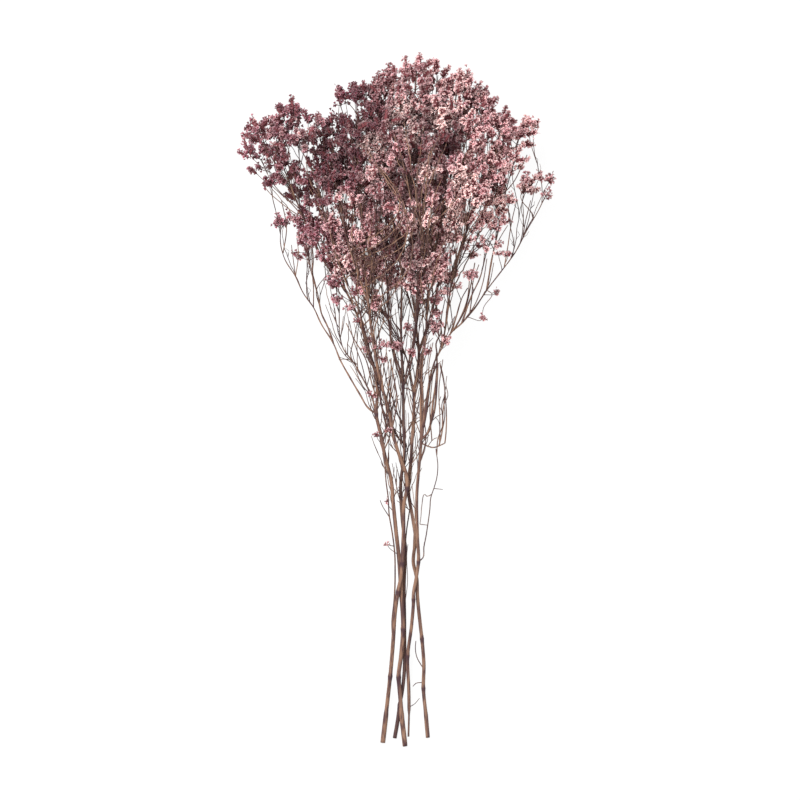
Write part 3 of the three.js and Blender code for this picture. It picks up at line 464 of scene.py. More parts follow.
# Regions with a tint of their own and with painted light and shade: (x, y, radius, more mauve, more pale,
# darker). Below 0 it is the reverse. The darker share is partly the florets' own tone and partly painted
# shade; below 0 it is partly a paler tone and partly painted light where twigs shade the florets.
TINT_AND_SHADE_PATCHES = [
    (5, 151, 24, 1, 0, 0.6), (53, 263, 14, 1, 0, 0.7), (-49, 275, 22, 1, 0, 0.5),
    (-24, 287, 13, 0.8, 0.1, 0.2), (58, 297, 12, 0.9, 0.2, 0), (52, 243, 10, 0.9, 0.1, -0.2),
    (3, 288, 14, 0, 0.6, 0.1), (41, 282, 11, 0, 0.8, -0.2), (12, 266, 9, 0, 0.8, -0.1),
    (-26, 258, 12, 0, 0.8, -0.1), (5, 245, 40, 0, 0, 0.15), (-10, 122, 26, 0, 0.2, -0.4),
    (-118, 240, 50, 0.1, 0, 0.15), (-60, 248, 28, 0.7, 0, 0.4), (-75, 255, 22, 0.7, 0, 0.3),
    (30, 230, 10, 0, 0.9, -0.5), (64, 222, 13, 0.1, 0.7, -0.4), (-24, 225, 13, 0.3, 0.4, -0.3),
    (54, 186, 12, 0, 0.5, -0.3), (25, 180, 10, 0, 0.5, -0.3), (1, 224, 14, 0.1, 0, 0.5),
    (43, 218, 9, 0.3, 0, 0.5), (20, 247, 11, 0.2, 0.1, 0.4), (26, 282, 10, 0, 0, 0.3),
    (81, 221, 15, 0, -0.2, 0.25), (62, 184, 14, 0, 0.2, -0.4), (100, 200, 12, 0, 0.2, -0.4),
    (100, 245, 46, 0.1, 0.25, -0.45), (145, 220, 26, 0.3, 0.2, 0.1), (40, 320, 40, 0.25, 0.2, -0.1),
    (20, 160, 40, 0.1, 0.2, -0.25), (-60, 165, 30, 0, 0.1, -0.25), (-49, 144, 18, 0.2, 0.3, 0),
    (78, 180, 32, 0.1, 0.3, -0.5), (50, 120, 18, 0, 0.2, -0.4), (-55, 198, 16, 0, 0.3, -0.3),
    (64, 190, 16, 0, 0.2, -0.3), (88, 147, 12, 0, 0.1, -0.3), (-14, 134, 14, 0, 0.1, -0.3),
    (20, 279, 14, 0, -0.1, 0.25), (-82, 206, 14, 0.2, -0.1, 0.25), (-46, 313, 18, 0.3, -0.2, 0.3),
    (34, 160, 14, 0, 0.1, -0.3), (-58, 238, 12, 0, 0.1, -0.2), (-62, 291, 12, 0.2, -0.1, 0.25),
    (-24, 130, 14, 0, 0.1, -0.25), (100, 204, 10, 0, 0.1, -0.3),
]


def unit(vector):
    """The same direction, 1 long."""
    return vector / np.linalg.norm(vector)


def units(vectors):
    return vectors / np.linalg.norm(vectors, axis=1)[:, None]


def draws(seed):
    """A repeatable draw between 0 and 1."""
    state = seed

    def draw():
        nonlocal state
        state = (state * DRAW_FACTOR + DRAW_STEP) % DRAW_RANGE
        return state / DRAW_RANGE

    return draw


def varied(drawn, spread):
    """A factor near 1 from a draw between 0 and 1."""
    return 1 + spread * (2 * drawn - 1)


def blended(pair, share):
    return pair[0] + (pair[1] - pair[0]) * share


def placed(point):
    """A place given by its height above the rising line of the bunch."""
    x, y, above = point
    return np.array([x, y, END_HEIGHT + RISE * (y - BUNCH_END) + above])


def samples_of(points):
    """Points about SAMPLE apart along a polyline, and the share of its length at each."""
    lengths = [np.linalg.norm(b - a) for a, b in zip(points, points[1:])]
    found, shares, before = [], [], 0.0
    for start, end, length in zip(points, points[1:], lengths):
        steps = max(1, math.ceil(length / SAMPLE))
        for k in range(steps):
            found.append(start + (end - start) * (k / steps))
            shares.append((before + k / steps * length) / sum(lengths))
        before += length
    return np.array(found + [points[-1]]), np.array(shares + [1.0])


def square_to(direction):
    """Two directions square to a third one, and to each other."""
    aside = np.array([0.0, 0, 1]) if abs(direction[2]) < 0.9 else np.array([1.0, 0, 0])
    first = unit(np.cross(direction, aside))
    return first, np.cross(direction, first)


def around(plane, reach, angle):
    """A step of this reach in a plane, in the direction of an angle."""
    return reach * math.cos(angle) * plane[0] + reach * math.sin(angle) * plane[1]


def stem_radius(stem, y):
    """Radius of a stem's main limb, with a swell at each node."""
    end, middle, crown = stem["radii"]
    share = (y - BUNCH_END) / -BUNCH_END
    thinned = min(1, max(0, (share - TAPER[0]) / (TAPER[1] - TAPER[0])))
    plain = end if share < END_SHARE else blended((middle, crown), thinned)
    return plain * (SWELL if y in stem["swells"] else 1)


def lean_at(place):
    """The direction in which a spray at this place grows."""
    away = place - FAN_POINT
    return unit(away * (1, 1, FAN_DEPTH))


class Room:
    """Spheres that stand for everything placed so far, for the clearance tests."""

    def __init__(self):
        self.owners, self.points, self.radii = [], [], []

    def fill(self, owner, points, radii):
        self.owners += [owner] * len(points)
        self.points += list(points)
        self.radii += list(radii)

    def round(self, owner, centre, reach):
        """The spheres near a place that others own."""
        points, radii = np.array(self.points), np.array(self.radii)
        near = np.linalg.norm(points - centre, axis=1) < reach + radii
        kept = near & (np.array(self.owners) != owner)
        return points[kept], radii[kept]


def is_clear(points, radii, others):
    """Whether spheres keep clear of the others, given as (points, radii)."""
    gaps = np.linalg.norm(points[:, None] - others[0][None], axis=2)
    return bool((gaps >= radii[:, None] + others[1][None] + CLEAR).all())


def plan_limbs(room):
    """The limbs of every stem, with samples along them."""
    limbs = []
    for stem_name, stem in STEMS.items():
        for name, (reach, route) in stem["limbs"].items():
            points = [placed(p) for p in route]
            samples, shares = samples_of(points)
            lean = unit(lean_at(points[-1]) + unit(points[-1] - points[-2]))
            limb = dict(stem=stem_name, name=name, reach=reach, points=points, samples=samples, lean=lean)
            limbs.append(limb)
            if name == "main":
                radii = [stem_radius(stem, p[1]) for p in samples]
            else:
                radii = [blended(LIMB_RADIUS, share) for share in shares]
            room.fill(stem_name, samples, radii)
    return limbs


def new_spray(limb, root, lean, reach, twig):
    return dict(stem=limb["stem"], limb=limb, root=root, lean=lean, reach=reach, twig=twig)


def plan_sprays(limbs):
    """The sprays at the ends of limbs, and then the ones that want a twig of their own."""
    bearers = [limb for limb in limbs if limb["reach"]]
    sprays = [new_spray(limb, limb["points"][-1], limb["lean"], limb["reach"], None) for limb in bearers]
    for stem_name, stem in STEMS.items():
        for name, x, y, z, reach in stem["sprays"]:
            middle = np.array([x, y, z], float)
            lean = lean_at(middle)
            limb = next(one for one in limbs if one["stem"] == stem_name and one["name"] == name)
            root = middle - 0.5 * reach * lean
            sprays.append(new_spray(limb, root, lean, reach, "wanted"))
    return sprays


def fork_of(limb, root):
    """Where a twig leaves its limb: the nearest place that lies far enough back, as a sample's number."""
    samples = limb["samples"]
    aside = np.hypot(samples[:, 0] - root[0], samples[:, 2] - root[2])
    behind = root[1] - samples[:, 1] > FORK_BACK + FORK_SLOPE * aside
    behind &= np.linalg.norm(samples - limb["points"][-1], axis=1) > FORK_BACK
    far = np.where(behind, np.linalg.norm(samples - root, axis=1), np.inf)
    return int(np.argmin(far)) if behind.any() else 0


def bezier(ends, steps):
    """Points on the curve that four points draw."""
    t = np.linspace(0, 1, steps + 1)[:, None]
    a, b, c, d = ends
    return (1 - t) ** 3 * a + 3 * (1 - t) ** 2 * t * b + 3 * (1 - t) * t**2 * c + t**3 * d


def twig_ends(spray, shift):
    """The four points that draw a twig from its limb to its spray."""
    limb = spray["limb"]
    fork = fork_of(limb, spray["root"])
    start = limb["samples"][fork]
    along = unit(limb["samples"][fork + 1] - start)
    root, third = spray["root"], np.linalg.norm(spray["root"] - start) / 3
    return start, start + along * third + shift, root - spray["lean"] * third + shift, root


def twig_is_clear(points, spray, sprays, others):
    """Whether a twig keeps clear of other wood and of the hearts of other sprays."""
    found, _ = samples_of(list(points))
    if not is_clear(found, np.full(len(found), TWIG_RADIUS[0]), others):
        return False
    for other in sprays:
        heart = other["root"] + HEART[0] * other["reach"] * other["lean"]
        near = np.linalg.norm(found - heart, axis=1) <= HEART[1] * other["reach"]
        if other is not spray and near.any():
            return False
    return True


def find_twig(spray, sprays, room):
    """The first twig that is clear: as straight as can be, then bowed more and more."""
    others = room.round(spray["stem"], spray["root"], WHOLE_BUNCH)
    plane = square_to(spray["lean"])
    for far in TWIG_SHIFTS:
        for k in range(TWIG_WAYS):
            ends = twig_ends(spray, around(plane, far, math.tau * k / TWIG_WAYS))
            if twig_is_clear(bezier(ends, TWIG_STEPS), spray, sprays, others):
                return ends
    raise RuntimeError("a spray has no clear way to its limb")


def spike_spheres(spike):
    """Places that a spike fills, each with its radius: its neck, both tiers of florets and its tip."""
    neck, florets = spike["neck"], spike["length"] - spike["neck"]
    far = [share * neck for share, _ in NECK_SPHERES]
    far += [neck + share * florets for share, _ in FLORET_SPHERES]
    radii = [width * NECK_RADIUS for _, width in NECK_SPHERES]
    radii += [width * spike["radius"] for _, width in FLORET_SPHERES]
    return spike["start"] + np.outer(far, spike["way"]), np.array(radii)


def spikes_part(one, other):
    """Whether two spikes of one spray keep apart; their bare necks may come close."""
    (p, r), (q, s) = spike_spheres(one), spike_spheres(other)
    apart = np.linalg.norm(p[:, None] - q[None], axis=2) > r[:, None] + s[None] + FACE_GAP
    necks = len(NECK_SPHERES)
    apart[:necks, :necks] = True
    return bool(apart.all())


def side_spike(spray, k, tilt, turn, shrink, drawn):
    """The spike with number k: two stand at each step of the axis, opposite each other."""
    step = k // 2
    cone = blended(SPRAY_CONES, step / max(1, spray["steps"] - 1)) + tilt
    angle = spray["phase"] + (step + 1) * SPIKE_TURN + (k % 2) * math.pi + turn
    length = spray["reach"] * SIDE_SHARE * shrink * varied(drawn[0], LENGTH_SPREAD)
    way = around(square_to(spray["lean"]), math.sin(cone), angle) + spray["lean"] * math.cos(cone)
    radius = spray["radius"] * varied(drawn[1], RADIUS_SPREAD) * math.sqrt(shrink)
    start = spray["root"] + spray["lean"] * (SEAT_GAP + (step + 0.5) * spray["pitch"])
    return dict(start=start, way=way, length=length, neck=length * NECK_SHARE, radius=radius)


def top_spike(spray, shrink, drawn):
    """The spike that carries the spray's axis on to its tip."""
    bare = spray["steps"] * spray["pitch"]
    florets = spray["reach"] * TOP_SHARE * shrink * varied(drawn, LENGTH_SPREAD)
    radius = spray["radius"] * math.sqrt(shrink)
    start = spray["root"] + spray["lean"] * SEAT_GAP
    return dict(start=start, way=spray["lean"], length=bare + florets, neck=bare, radius=radius)


def has_room(spray, spike, others):
    clear = is_clear(*spike_spheres(spike), others)
    return clear and all(spikes_part(spike, one) for one in spray["spikes"])


def place_side_spike(spray, k, others, drawn):
    """A side spike, turned, tilted and shortened until it is clear of the rest, if it can be."""
    for shrink in SHRINKS:
        for tilt in TILTS:
            for turn in TURNS:
                spike = side_spike(spray, k, tilt, turn, shrink, drawn)
                if has_room(spray, spike, others):
                    return [spike]
    return []


def plan_spikes(sprays, room):
    """Names the sprays and gives each one its spikes."""
    draw = draws(SEED)
    for number, spray in enumerate(sprays, 1):
        spray["name"] = f"spray_{number:02d}"
        spray["phase"] = math.tau * draw()
        sides = max(FEWEST_SPIKES, math.floor(spray["reach"] / SPIKE_EVERY + 0.5))
        spray["steps"] = math.ceil(sides / 2)
        spray["pitch"] = PITCH_SHARE * spray["reach"]
        spray["radius"] = min(FLORET_RADIUS, FLORET_SHARE * spray["reach"])
        spray["spikes"] = []
        others = room.round(spray["name"], spray["root"], 2 * spray["reach"])
        drawn = draw()
        tops = [top_spike(spray, shrink, drawn) for shrink in SHRINKS]
        spray["spikes"].append(next((one for one in tops if has_room(spray, one, others)), tops[-1]))
        for k in range(sides):
            spray["spikes"] += place_side_spike(spray, k, others, (draw(), draw()))
        for spike in spray["spikes"]:
            room.fill(spray["name"], *spike_spheres(spike))


def plan_bunch():
    """The limbs and sprays of the bunch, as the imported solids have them."""
    room = Room()
    limbs = plan_limbs(room)
    sprays = plan_sprays(limbs)
    for spray in sprays:
        if spray["twig"]:
            spray["twig"] = find_twig(spray, sprays, room)
            points, _ = samples_of(list(bezier(spray["twig"], TWIG_STEPS)))
            room.fill(spray["stem"], points, [TWIG_RADIUS[0]] * len(points))
    plan_spikes(sprays, room)
    return limbs, sprays


# Finer sizes than those of the solids, mm. A pair is the radius at the foot and at the end.
FINE_LIMB = (0.95, 0.45)
FINE_TWIG = (0.6, 0.35)
SIDE_TWIG = (0.5, 0.25)
FRONT_TWIG = (0.75, 0.4)
CLUSTER_TWIG = (0.4, 0.3)
FEEDER = (0.44, 0.28)
HOOK = (0.32, 0.2)
STALK = (0.42, 0.25)
AXIS = (0.6, 0.45)
POINT_RADIUS = 0.22
NODE_LENGTH = 2.5
MAIN_SIDES = 12  # of a main limb
CROWN_SLIM = 0.6  # a main limb's radius in the crown, as a share of the solid one
SCALE_LEAF = (1.1, 4)  # half width and length of a dry scale

# The two materials of a piece, by their place in its list.
BARK, PETAL = 0, 1

# Spikes of florets, mm and radians.
GOLDEN = math.pi * (3 - math.sqrt(5))  # turn from one floret to the next
ARCH = 0.14  # how far a stalk bows, as a share of its length
TIP_SHORT = 1.5  # how far before the spike's tip its stalk ends
LAST_FLORET = 1.2  # and how far before it the last florets stand
FLORET_LONG = 2.2
FLORET_DENSITY = 0.46  # florets for each square millimetre of a spike's length times its radius
FEWEST_FLORETS = 6
LOBES = 5  # of a papery cup's rim
TOUCH = 0.01  # how near two heights count as one
FLORET_MIX = (0.46, 0.1, 0.44)  # shares of the cups, the open florets and the buds
FLORET_SIZES = (0.85, 1.3)
CRUMPLE = ((0.55, 0.8, 0.85), (1.05, 1.25, 1.25))
STRAY_SHARE = 0.2  # florets that stand out further, on a thin point each
STRAY_REACH = (0.8, 2.8)
CORE_SHARES = (0, 0.1, 0.4, 0.75, 1)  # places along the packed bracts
CORE_WIDTHS = (0.35, 0.9, 1, 0.8, 0.25)  # and how wide they are there
SPIKE_SLIM = 0.85
ARM_SLIM = 0.58
OPEN_SHORT = 0.8
ARM_CORNER = (100, 235)  # the right arm lies to the right of and below this place

# Tones of the florets. A drift is (length of the pattern in mm, phase).
SPIKE_SHADES = 0.16
MAUVE_EDGE = (-75, -15)  # from mauve to pink between these places along X
MAUVE_DRIFT = (52, 0.6)
PALE_DRIFT = (34, 1.7)
BRIGHT_DRIFT = (11, 0.0)
DRIFT_WAYS = np.array([[0.8, 0.5, 0.33], [-0.5, 0.85, 0.2], [0.3, -0.25, 0.92]])
OWN_TINT = 0.18

# How corners near the surface are pressed on it, mm.
PRESSED = 1  # below this height
FLOOR_GAP = 0.05

# Twigs and small panicles, mm.
FEEDERS = 2  # for a wide spray
WIDE_SPRAY = 20  # the reach of such a spray, at the least
FEEDER_BACK = (25, 85)  # how far behind its spray a feeder leaves the limb
FEEDER_NECK = 2.0
FILL_STEP = 11.5
FILL_ROWS = (110, 350)
FILL_SIDES = (-160, 160)
FILL_SIZES = (15, 21)
FILL_SPIKES = 4
FILL_LAYERS = 2.4  # spikes over a place that is full enough
PACKED_PLACE = (10, 235, 70)  # (x, y, radius) of the part of the crown that takes one layer more
INNER_CROWN = 90  # how far to each side it goes
TWIG_REACH = (22, 80)
HOOKS = 3
TWIG_TINTS = (0.42, 0.9)
INNER_TINTS = (0.4, 0.72)
SIDE_TWIG_LIMBS = ("main", "inner", "second", "front")
SIDE_TWIG_SPAN = (-110, 150)  # side twigs leave their limb between these places along Y
SIDE_TWIG_MISS = 0.1  # share of those places that stay bare
SIDE_TWIG_LENGTHS = (18, 60)
LOWEST_TIP = 3
SPIKE_COVER = 4.5  # how far from its axis a spike covers the crown
TOP_COVER = 7  # spikes this near tell how high the crown is
BARE_TOP = 20  # its height above the rising line where none is near
FRONT_LIFT = 2  # how high above the crown a front twig runs
FRONT_SINK = 5  # and how far its end sinks in

# Seeds. A place further left or down than FAR_CORNER would give a negative one.
GROWTH_SEED = 4107
SPRAY_SEED = GROWTH_SEED + 100
CLUSTER_SEED = GROWTH_SEED + 200
FAR_CORNER = 500


class Shape:
    """Corners, triangles and tones of a mesh in the making, mm."""

    def __init__(self):
        self.corners, self.faces, self.tones, self.kinds = [], [], [], []
        self.count = 0

    def add(self, corners, faces, tones, kind):
        self.corners.append(corners)
        self.faces.append(faces + self.count)
        self.tones.append(tones)
        self.kinds.append(np.full(len(faces), kind))
        self.count += len(corners)


def smooth_line(points, step):
    """Points about a step apart on a smooth curve through the given ones."""
    p = np.asarray(points, float)
    gaps = np.linalg.norm(np.diff(p, axis=0), axis=1)
    slopes = np.diff(p, axis=0) / gaps[:, None]
    ways = np.vstack([slopes[:1], slopes, slopes[-1:]])
    weights = np.concatenate([gaps[:1], gaps, gaps[-1:]])[:, None]
    ways = (ways[:-1] * weights[1:] + ways[1:] * weights[:-1]) / (weights[:-1] + weights[1:])
    found = []
    for a, b, m, n, gap in zip(p, p[1:], ways, ways[1:], gaps):
        steps = max(1, round(gap / step))
        t = (np.arange(steps) / steps)[:, None]
        found.append(
            (2 * t**3 - 3 * t**2 + 1) * a
            + (t**3 - 2 * t**2 + t) * gap * m
            + (3 * t**2 - 2 * t**3) * b
            + (t**3 - t**2) * gap * n
        )
    return np.vstack(found + [p[-1:]])


def full_turn(sides):
    return math.tau * np.arange(sides) / sides


def rings(firsts, seconds, sides):
    """Directions all round, for each pair of directions that are square to each other."""
    angles = full_turn(sides)
    cosines, sines = np.cos(angles)[None, :, None], np.sin(angles)[None, :, None]
    return cosines * firsts[:, None] + sines * seconds[:, None]


def frames_along(points):
    """Two directions square to a curve at each of its points, with as little twist as can be."""
    ways = units(np.gradient(points, axis=0))
    first, firsts = square_to(ways[0])[0], []
    for way in ways:
        first = unit(first - way * first.dot(way))
        firsts.append(first)
    firsts = np.array(firsts)
    return firsts, np.cross(ways, firsts)


def tube_faces(count, sides):
    """Triangles round a row of rings, and the flat ends."""
    index = np.arange(count * sides).reshape(count, sides)
    low, high = index[:-1].ravel(), index[1:].ravel()
    low_next, high_next = np.roll(index[:-1], -1, 1).ravel(), np.roll(index[1:], -1, 1).ravel()
    end = index[-1]
    return np.vstack([
        np.column_stack([low, low_next, high_next]),
        np.column_stack([low, high_next, high]),
        [[0, s + 1, s] for s in range(1, sides - 1)],
        [[end[0], end[s], end[s + 1]] for s in range(1, sides - 1)],
    ])


def add_tube(shape, points, radii, sides, tones, kind=BARK):
    """A rod along a curve, closed at both ends. Radii are for each ring, or for each corner of it."""
    points, radii = np.asarray(points, float), np.asarray(radii, float)
    radii = radii[:, None] if radii.ndim == 1 else radii
    across = rings(*frames_along(points), sides)
    corners = (points[:, None] + radii[:, :, None] * across).reshape(-1, 3)
    shape.add(corners, tube_faces(len(points), sides), np.repeat(tones, sides, axis=0), kind)


def frames_of(ways, spins):
    """For each direction, two more that are square to it, turned by a spin."""
    aside = np.where(np.abs(ways[:, 2:]) < 0.9, [[0.0, 0, 1]], [[1.0, 0, 0]])
    firsts = units(np.cross(ways, aside))
    seconds = np.cross(ways, firsts)
    across = np.cos(spins)[:, None] * firsts + np.sin(spins)[:, None] * seconds
    return across, np.cross(ways, across)


def add_copies(shape, model, feet, ways, spins, sizes, tones, kind):
    """Copies of a model that stands on its foot along Z; its own shares become the first tone."""
    corners, faces, shares = model
    across, upward = frames_of(ways, spins)
    sized = corners[None] * np.reshape(sizes, (len(feet), 1, -1))
    copies = feet[:, None]
    for axis, directions in enumerate((across, upward, ways)):
        copies = copies + sized[:, :, axis, None] * directions[:, None]
    all_tones = np.repeat(tones[:, None], len(corners), axis=1)
    all_tones[:, :, 0] = shares[None]
    steps = np.arange(len(feet))[:, None, None] * len(corners)
    all_faces = (faces[None] + steps).reshape(-1, 3)
    shape.add(copies.reshape(-1, 3), all_faces, all_tones.reshape(-1, 4), kind)


def add_sticks(shape, starts, ends, radius, tones):
    """Thin three-sided points that carry florets."""
    ways = units(ends - starts)
    ring = rings(*frames_of(ways, np.zeros(len(ways))), 3)
    corners = np.concatenate([starts[:, None] + radius * ring, ends[:, None]], axis=1)
    faces = np.array([[0, 1, 3], [1, 2, 3], [2, 0, 3], [0, 2, 1]])
    all_faces = (faces[None] + 4 * np.arange(len(starts))[:, None, None]).reshape(-1, 3)
    shape.add(corners.reshape(-1, 3), all_faces, np.repeat(tones, 4, axis=0), BARK)


def lifted(corners):
    """Corners, with what would reach below the surface pressed flat on it."""
    z = corners[:, 2]
    depth = PRESSED - FLOOR_GAP
    pressed = FLOOR_GAP + depth * np.exp(np.minimum(z - PRESSED, 0) / depth)
    return np.column_stack([corners[:, :2], np.where(z < PRESSED, pressed, z)])


def deselect_all():
    bpy.ops.object.select_all(action="DESELECT")


def lowest_first(face):
    """The same triangle, read from its lowest corner on."""
    start = face.index(min(face))
    return (*face[start:], *face[:start])


def take_model(span):
    """The mesh in hand as (corners, triangles, shares of the span from its axis), and then it is gone.

    The triangles are sorted, because their order can change from run to run.
    """
    bpy.ops.object.mode_set(mode="OBJECT")
    made = bpy.context.object
    mesh = made.data
    mesh.calc_loop_triangles()
    corners = np.array([v.co for v in mesh.vertices])
    faces = np.array(sorted(lowest_first(tuple(t.vertices)) for t in mesh.loop_triangles))
    bpy.data.objects.remove(made)
    bpy.data.meshes.remove(mesh)
    return corners, faces, np.minimum(1, np.hypot(corners[:, 0], corners[:, 1]) / span)


def start_ring(sides, radius, height):
    """A new ring of corners round Z, selected in edit mode."""
    deselect_all()
    bpy.ops.mesh.primitive_circle_add(vertices=sides, radius=radius, location=(0, 0, height))
    bpy.ops.object.transform_apply(location=True, rotation=False, scale=False)
    bpy.ops.object.mode_set(mode="EDIT")
    bpy.ops.mesh.select_all(action="SELECT")


def take_closed_model(span):
    """The mesh in hand with its faces turned outward, taken as a model."""
    bpy.ops.mesh.select_all(action="SELECT")
    bpy.ops.mesh.normals_make_consistent(inside=False)
    return take_model(span)


def grow_ring(rise, widening):
    """A new ring above or below the selected one."""
    bpy.ops.mesh.extrude_region_move(TRANSFORM_OT_translate={"value": (0, 0, rise)})
    bpy.ops.transform.resize(value=(widening, widening, 1))


def close_ring(rise):
    """Draws the selected ring of corners to a point."""
    grow_ring(rise, 0.5)
    bpy.ops.mesh.merge(type="CENTER")


def model_cup(rim, height, notch, throat):
    """A papery cup: a pointed foot, a rim of five pointed lobes and a dark throat, partly its own darker
    centre and partly painted shade.
    """
    start_ring(2 * LOBES, rim, height)
    close_ring(throat - height)
    select_where(lambda co: co.z > height - TOUCH)
    close_ring(-height)
    select_where(lambda co: co.z > height - TOUCH and round(math.atan2(co.x, co.y) * LOBES / math.pi) % 2)
    bpy.ops.transform.resize(value=(notch, notch, 1))
    bpy.ops.transform.translate(value=(0, 0, -0.12 * height))
    return take_closed_model(rim)


def model_floret(collar, rim, height, throat):
    """A papery cup with a waist: a pointed foot, a collar, a rim of five lobes and a dark throat, partly its
    own darker centre and partly painted shade.
    """
    collar_height = 0.45 * height
    start_ring(LOBES, collar, collar_height)
    grow_ring(height - collar_height, rim / collar)
    bpy.ops.mesh.subdivide(number_cuts=1)
    close_ring(throat - height)
    select_where(lambda co: abs(co.z - collar_height) < TOUCH)
    close_ring(-collar_height)
    return take_closed_model(rim)


def model_bud(width, height):
    """A closed bud: a spindle of four sides."""
    waist = 0.55 * height
    start_ring(4, width, waist)
    for rise in (0.45, -0.55):
        select_where(lambda co: abs(co.z - waist) < TOUCH)
        close_ring(rise * height)
    return take_closed_model(1.15 * width)


def model_scale_leaf():
    """A dry scale at a fork: a flat pointed scale that leans out at its tip."""
    width, length = SCALE_LEAF
    middle = (0, 0, length / 2)
    deselect_all()
    bpy.ops.mesh.primitive_cone_add(vertices=6, radius1=width, radius2=0, depth=length, location=middle)
    bpy.ops.object.transform_apply(location=True, rotation=False, scale=False)
    bpy.ops.object.mode_set(mode="EDIT")
    bpy.ops.mesh.select_all(action="SELECT")
    bpy.ops.transform.resize(value=(1, 0.45, 1))
    select_where(lambda co: co.z > length - TOUCH)
    bpy.ops.transform.translate(value=(0, 0.9, 0))
    return take_model(width)


def select_where(test):
    """Selects the corners of the mesh in hand that pass a test of their place."""
    bpy.ops.object.mode_set(mode="OBJECT")
    mesh = bpy.context.object.data
    for part in (*mesh.polygons, *mesh.edges):
        part.select = False
    for v in mesh.vertices:
        v.select = bool(test(v.co))
    bpy.ops.object.mode_set(mode="EDIT")
    bpy.ops.mesh.select_mode(type="VERT")


def eased(value, low, high):
    """0 below one value and 1 above another, with a soft step between."""
    share = np.clip((value - low) / (high - low), 0, 1)
    return share * share * (3 - 2 * share)


def drift(places, length, phase):
    """A smooth pattern between -1 and 1 that changes over a length, mm."""
    a, b, c = (places @ DRIFT_WAYS.T * (math.tau / length) + phase).T
    folds = np.sin(a + 1.3 * np.sin(0.6 * b)) * np.cos(b - 1.1 * np.sin(0.7 * c))
    return folds * 0.6 + 0.4 * np.sin(c + phase)


def tones_of(feet, own, rng):
    """Tones of florets: [place along the floret, brightness, mauve, pale]. The brightness is random tone,
    with painted light and shade from the patches.
    """
    x, y = feet[:, 0], feet[:, 1]
    mauve = 1 - eased(x, *MAUVE_EDGE) + own[0]
    pale = np.full(len(feet), 0.2 + own[1]) + 0.2 * drift(feet, *PALE_DRIFT)
    mauve += 0.22 * drift(feet, *MAUVE_DRIFT)
    brightness_and_painted_light = 0.5 + own[1] + SPIKE_SHADES * rng.uniform(-1, 1) + 0.18 * rng.uniform(-1, 1, len(feet))
    brightness_and_painted_light += 0.3 * drift(feet, *BRIGHT_DRIFT)
    # Painted light and shade in part: each patch lightens or darkens the florets near it, for their own tone
    # and for shade that falls in the crown.
    for px, py, radius, more_mauve, more_pale, dark in TINT_AND_SHADE_PATCHES:
        near = eased(-np.hypot(x - px, y - py), -1.5 * radius, -0.6 * radius)
        mauve += near * more_mauve
        pale += near * more_pale
        brightness_and_painted_light -= near * dark
    pale *= rng.uniform(0.5, 1.4, len(feet))
    pale += 0.12 * rng.uniform(-1, 1, len(feet))
    tones = np.column_stack([np.zeros(len(feet)), brightness_and_painted_light, mauve, pale])
    return np.clip(tones, 0, 1)


def bark_tones(count, node=0.0, fresh=0.5):
    """Tones of bark: [node, freshness, 0, 0]."""
    tones = np.zeros((count, 4))
    tones[:, 0] = node
    tones[:, 1] = fresh
    return tones


def grow_stalk(shape, spike, rng):
    """The thin stalk of a spike, a little crooked. Gives a function for the places along its florets."""
    far = np.linspace(0, spike["length"] - TIP_SHORT, 5)
    points = spike["start"] + far[:, None] * spike["way"]
    arch = ARCH * spike["length"] * rng.uniform(-1, 1, 3) * (1, 1, 0.5)
    points += (np.linspace(0, 1, 5) ** 2)[:, None] * (arch - arch.dot(spike["way"]) * spike["way"])
    points[1:] += rng.uniform(-0.35, 0.35, (4, 3))
    add_tube(shape, points, np.linspace(*STALK, 5), 3, bark_tones(5, fresh=0.7))

    def on_stalk(share):
        along = spike["neck"] + share * (spike["length"] - spike["neck"] - LAST_FLORET)
        return np.column_stack([np.interp(along, far, points[:, i]) for i in range(3)])

    return on_stalk


def core_radius(spike, share):
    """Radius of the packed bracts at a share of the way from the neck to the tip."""
    full = max(0.7, spike["radius"] - 0.85 * FLORET_LONG)
    return full * np.interp(share, CORE_SHARES, CORE_WIDTHS)


def grow_core(shape, spike, on_stalk, rng):
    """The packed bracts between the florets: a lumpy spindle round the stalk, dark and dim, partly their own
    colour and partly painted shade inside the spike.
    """
    radii = core_radius(spike, np.array(CORE_SHARES))
    lumps = radii[:, None] * rng.uniform(0.8, 1.2, (len(radii), 5))
    tones = np.zeros((len(radii), 4))
    # Painted shade in part: a tone near the foot and a low brightness darken the bracts inside the spike.
    tones[:] = (0.27, rng.uniform(0.1, 0.5), 0.6, 0.1)
    add_tube(shape, on_stalk(np.array(CORE_SHARES)), lumps, 5, tones, PETAL)


def floret_places(spike, on_stalk, rng):
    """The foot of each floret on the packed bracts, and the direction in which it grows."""
    florets = spike["length"] - spike["neck"]
    count = max(FEWEST_FLORETS, round(FLORET_DENSITY * florets * spike["radius"]))
    share = (np.arange(count) + rng.uniform(0, 1, count)) / count
    angles = GOLDEN * np.arange(count) + rng.uniform(0, math.tau) + rng.uniform(-0.5, 0.5, count)
    plane = square_to(spike["way"])
    outward = np.cos(angles)[:, None] * plane[0] + np.sin(angles)[:, None] * plane[1]
    feet = on_stalk(share) + (0.8 * core_radius(spike, share))[:, None] * outward
    forward = 0.65 + 1.2 * share**2
    ways = outward + forward[:, None] * spike["way"] + rng.uniform(-0.55, 0.55, (count, 3))
    return feet, units(ways)


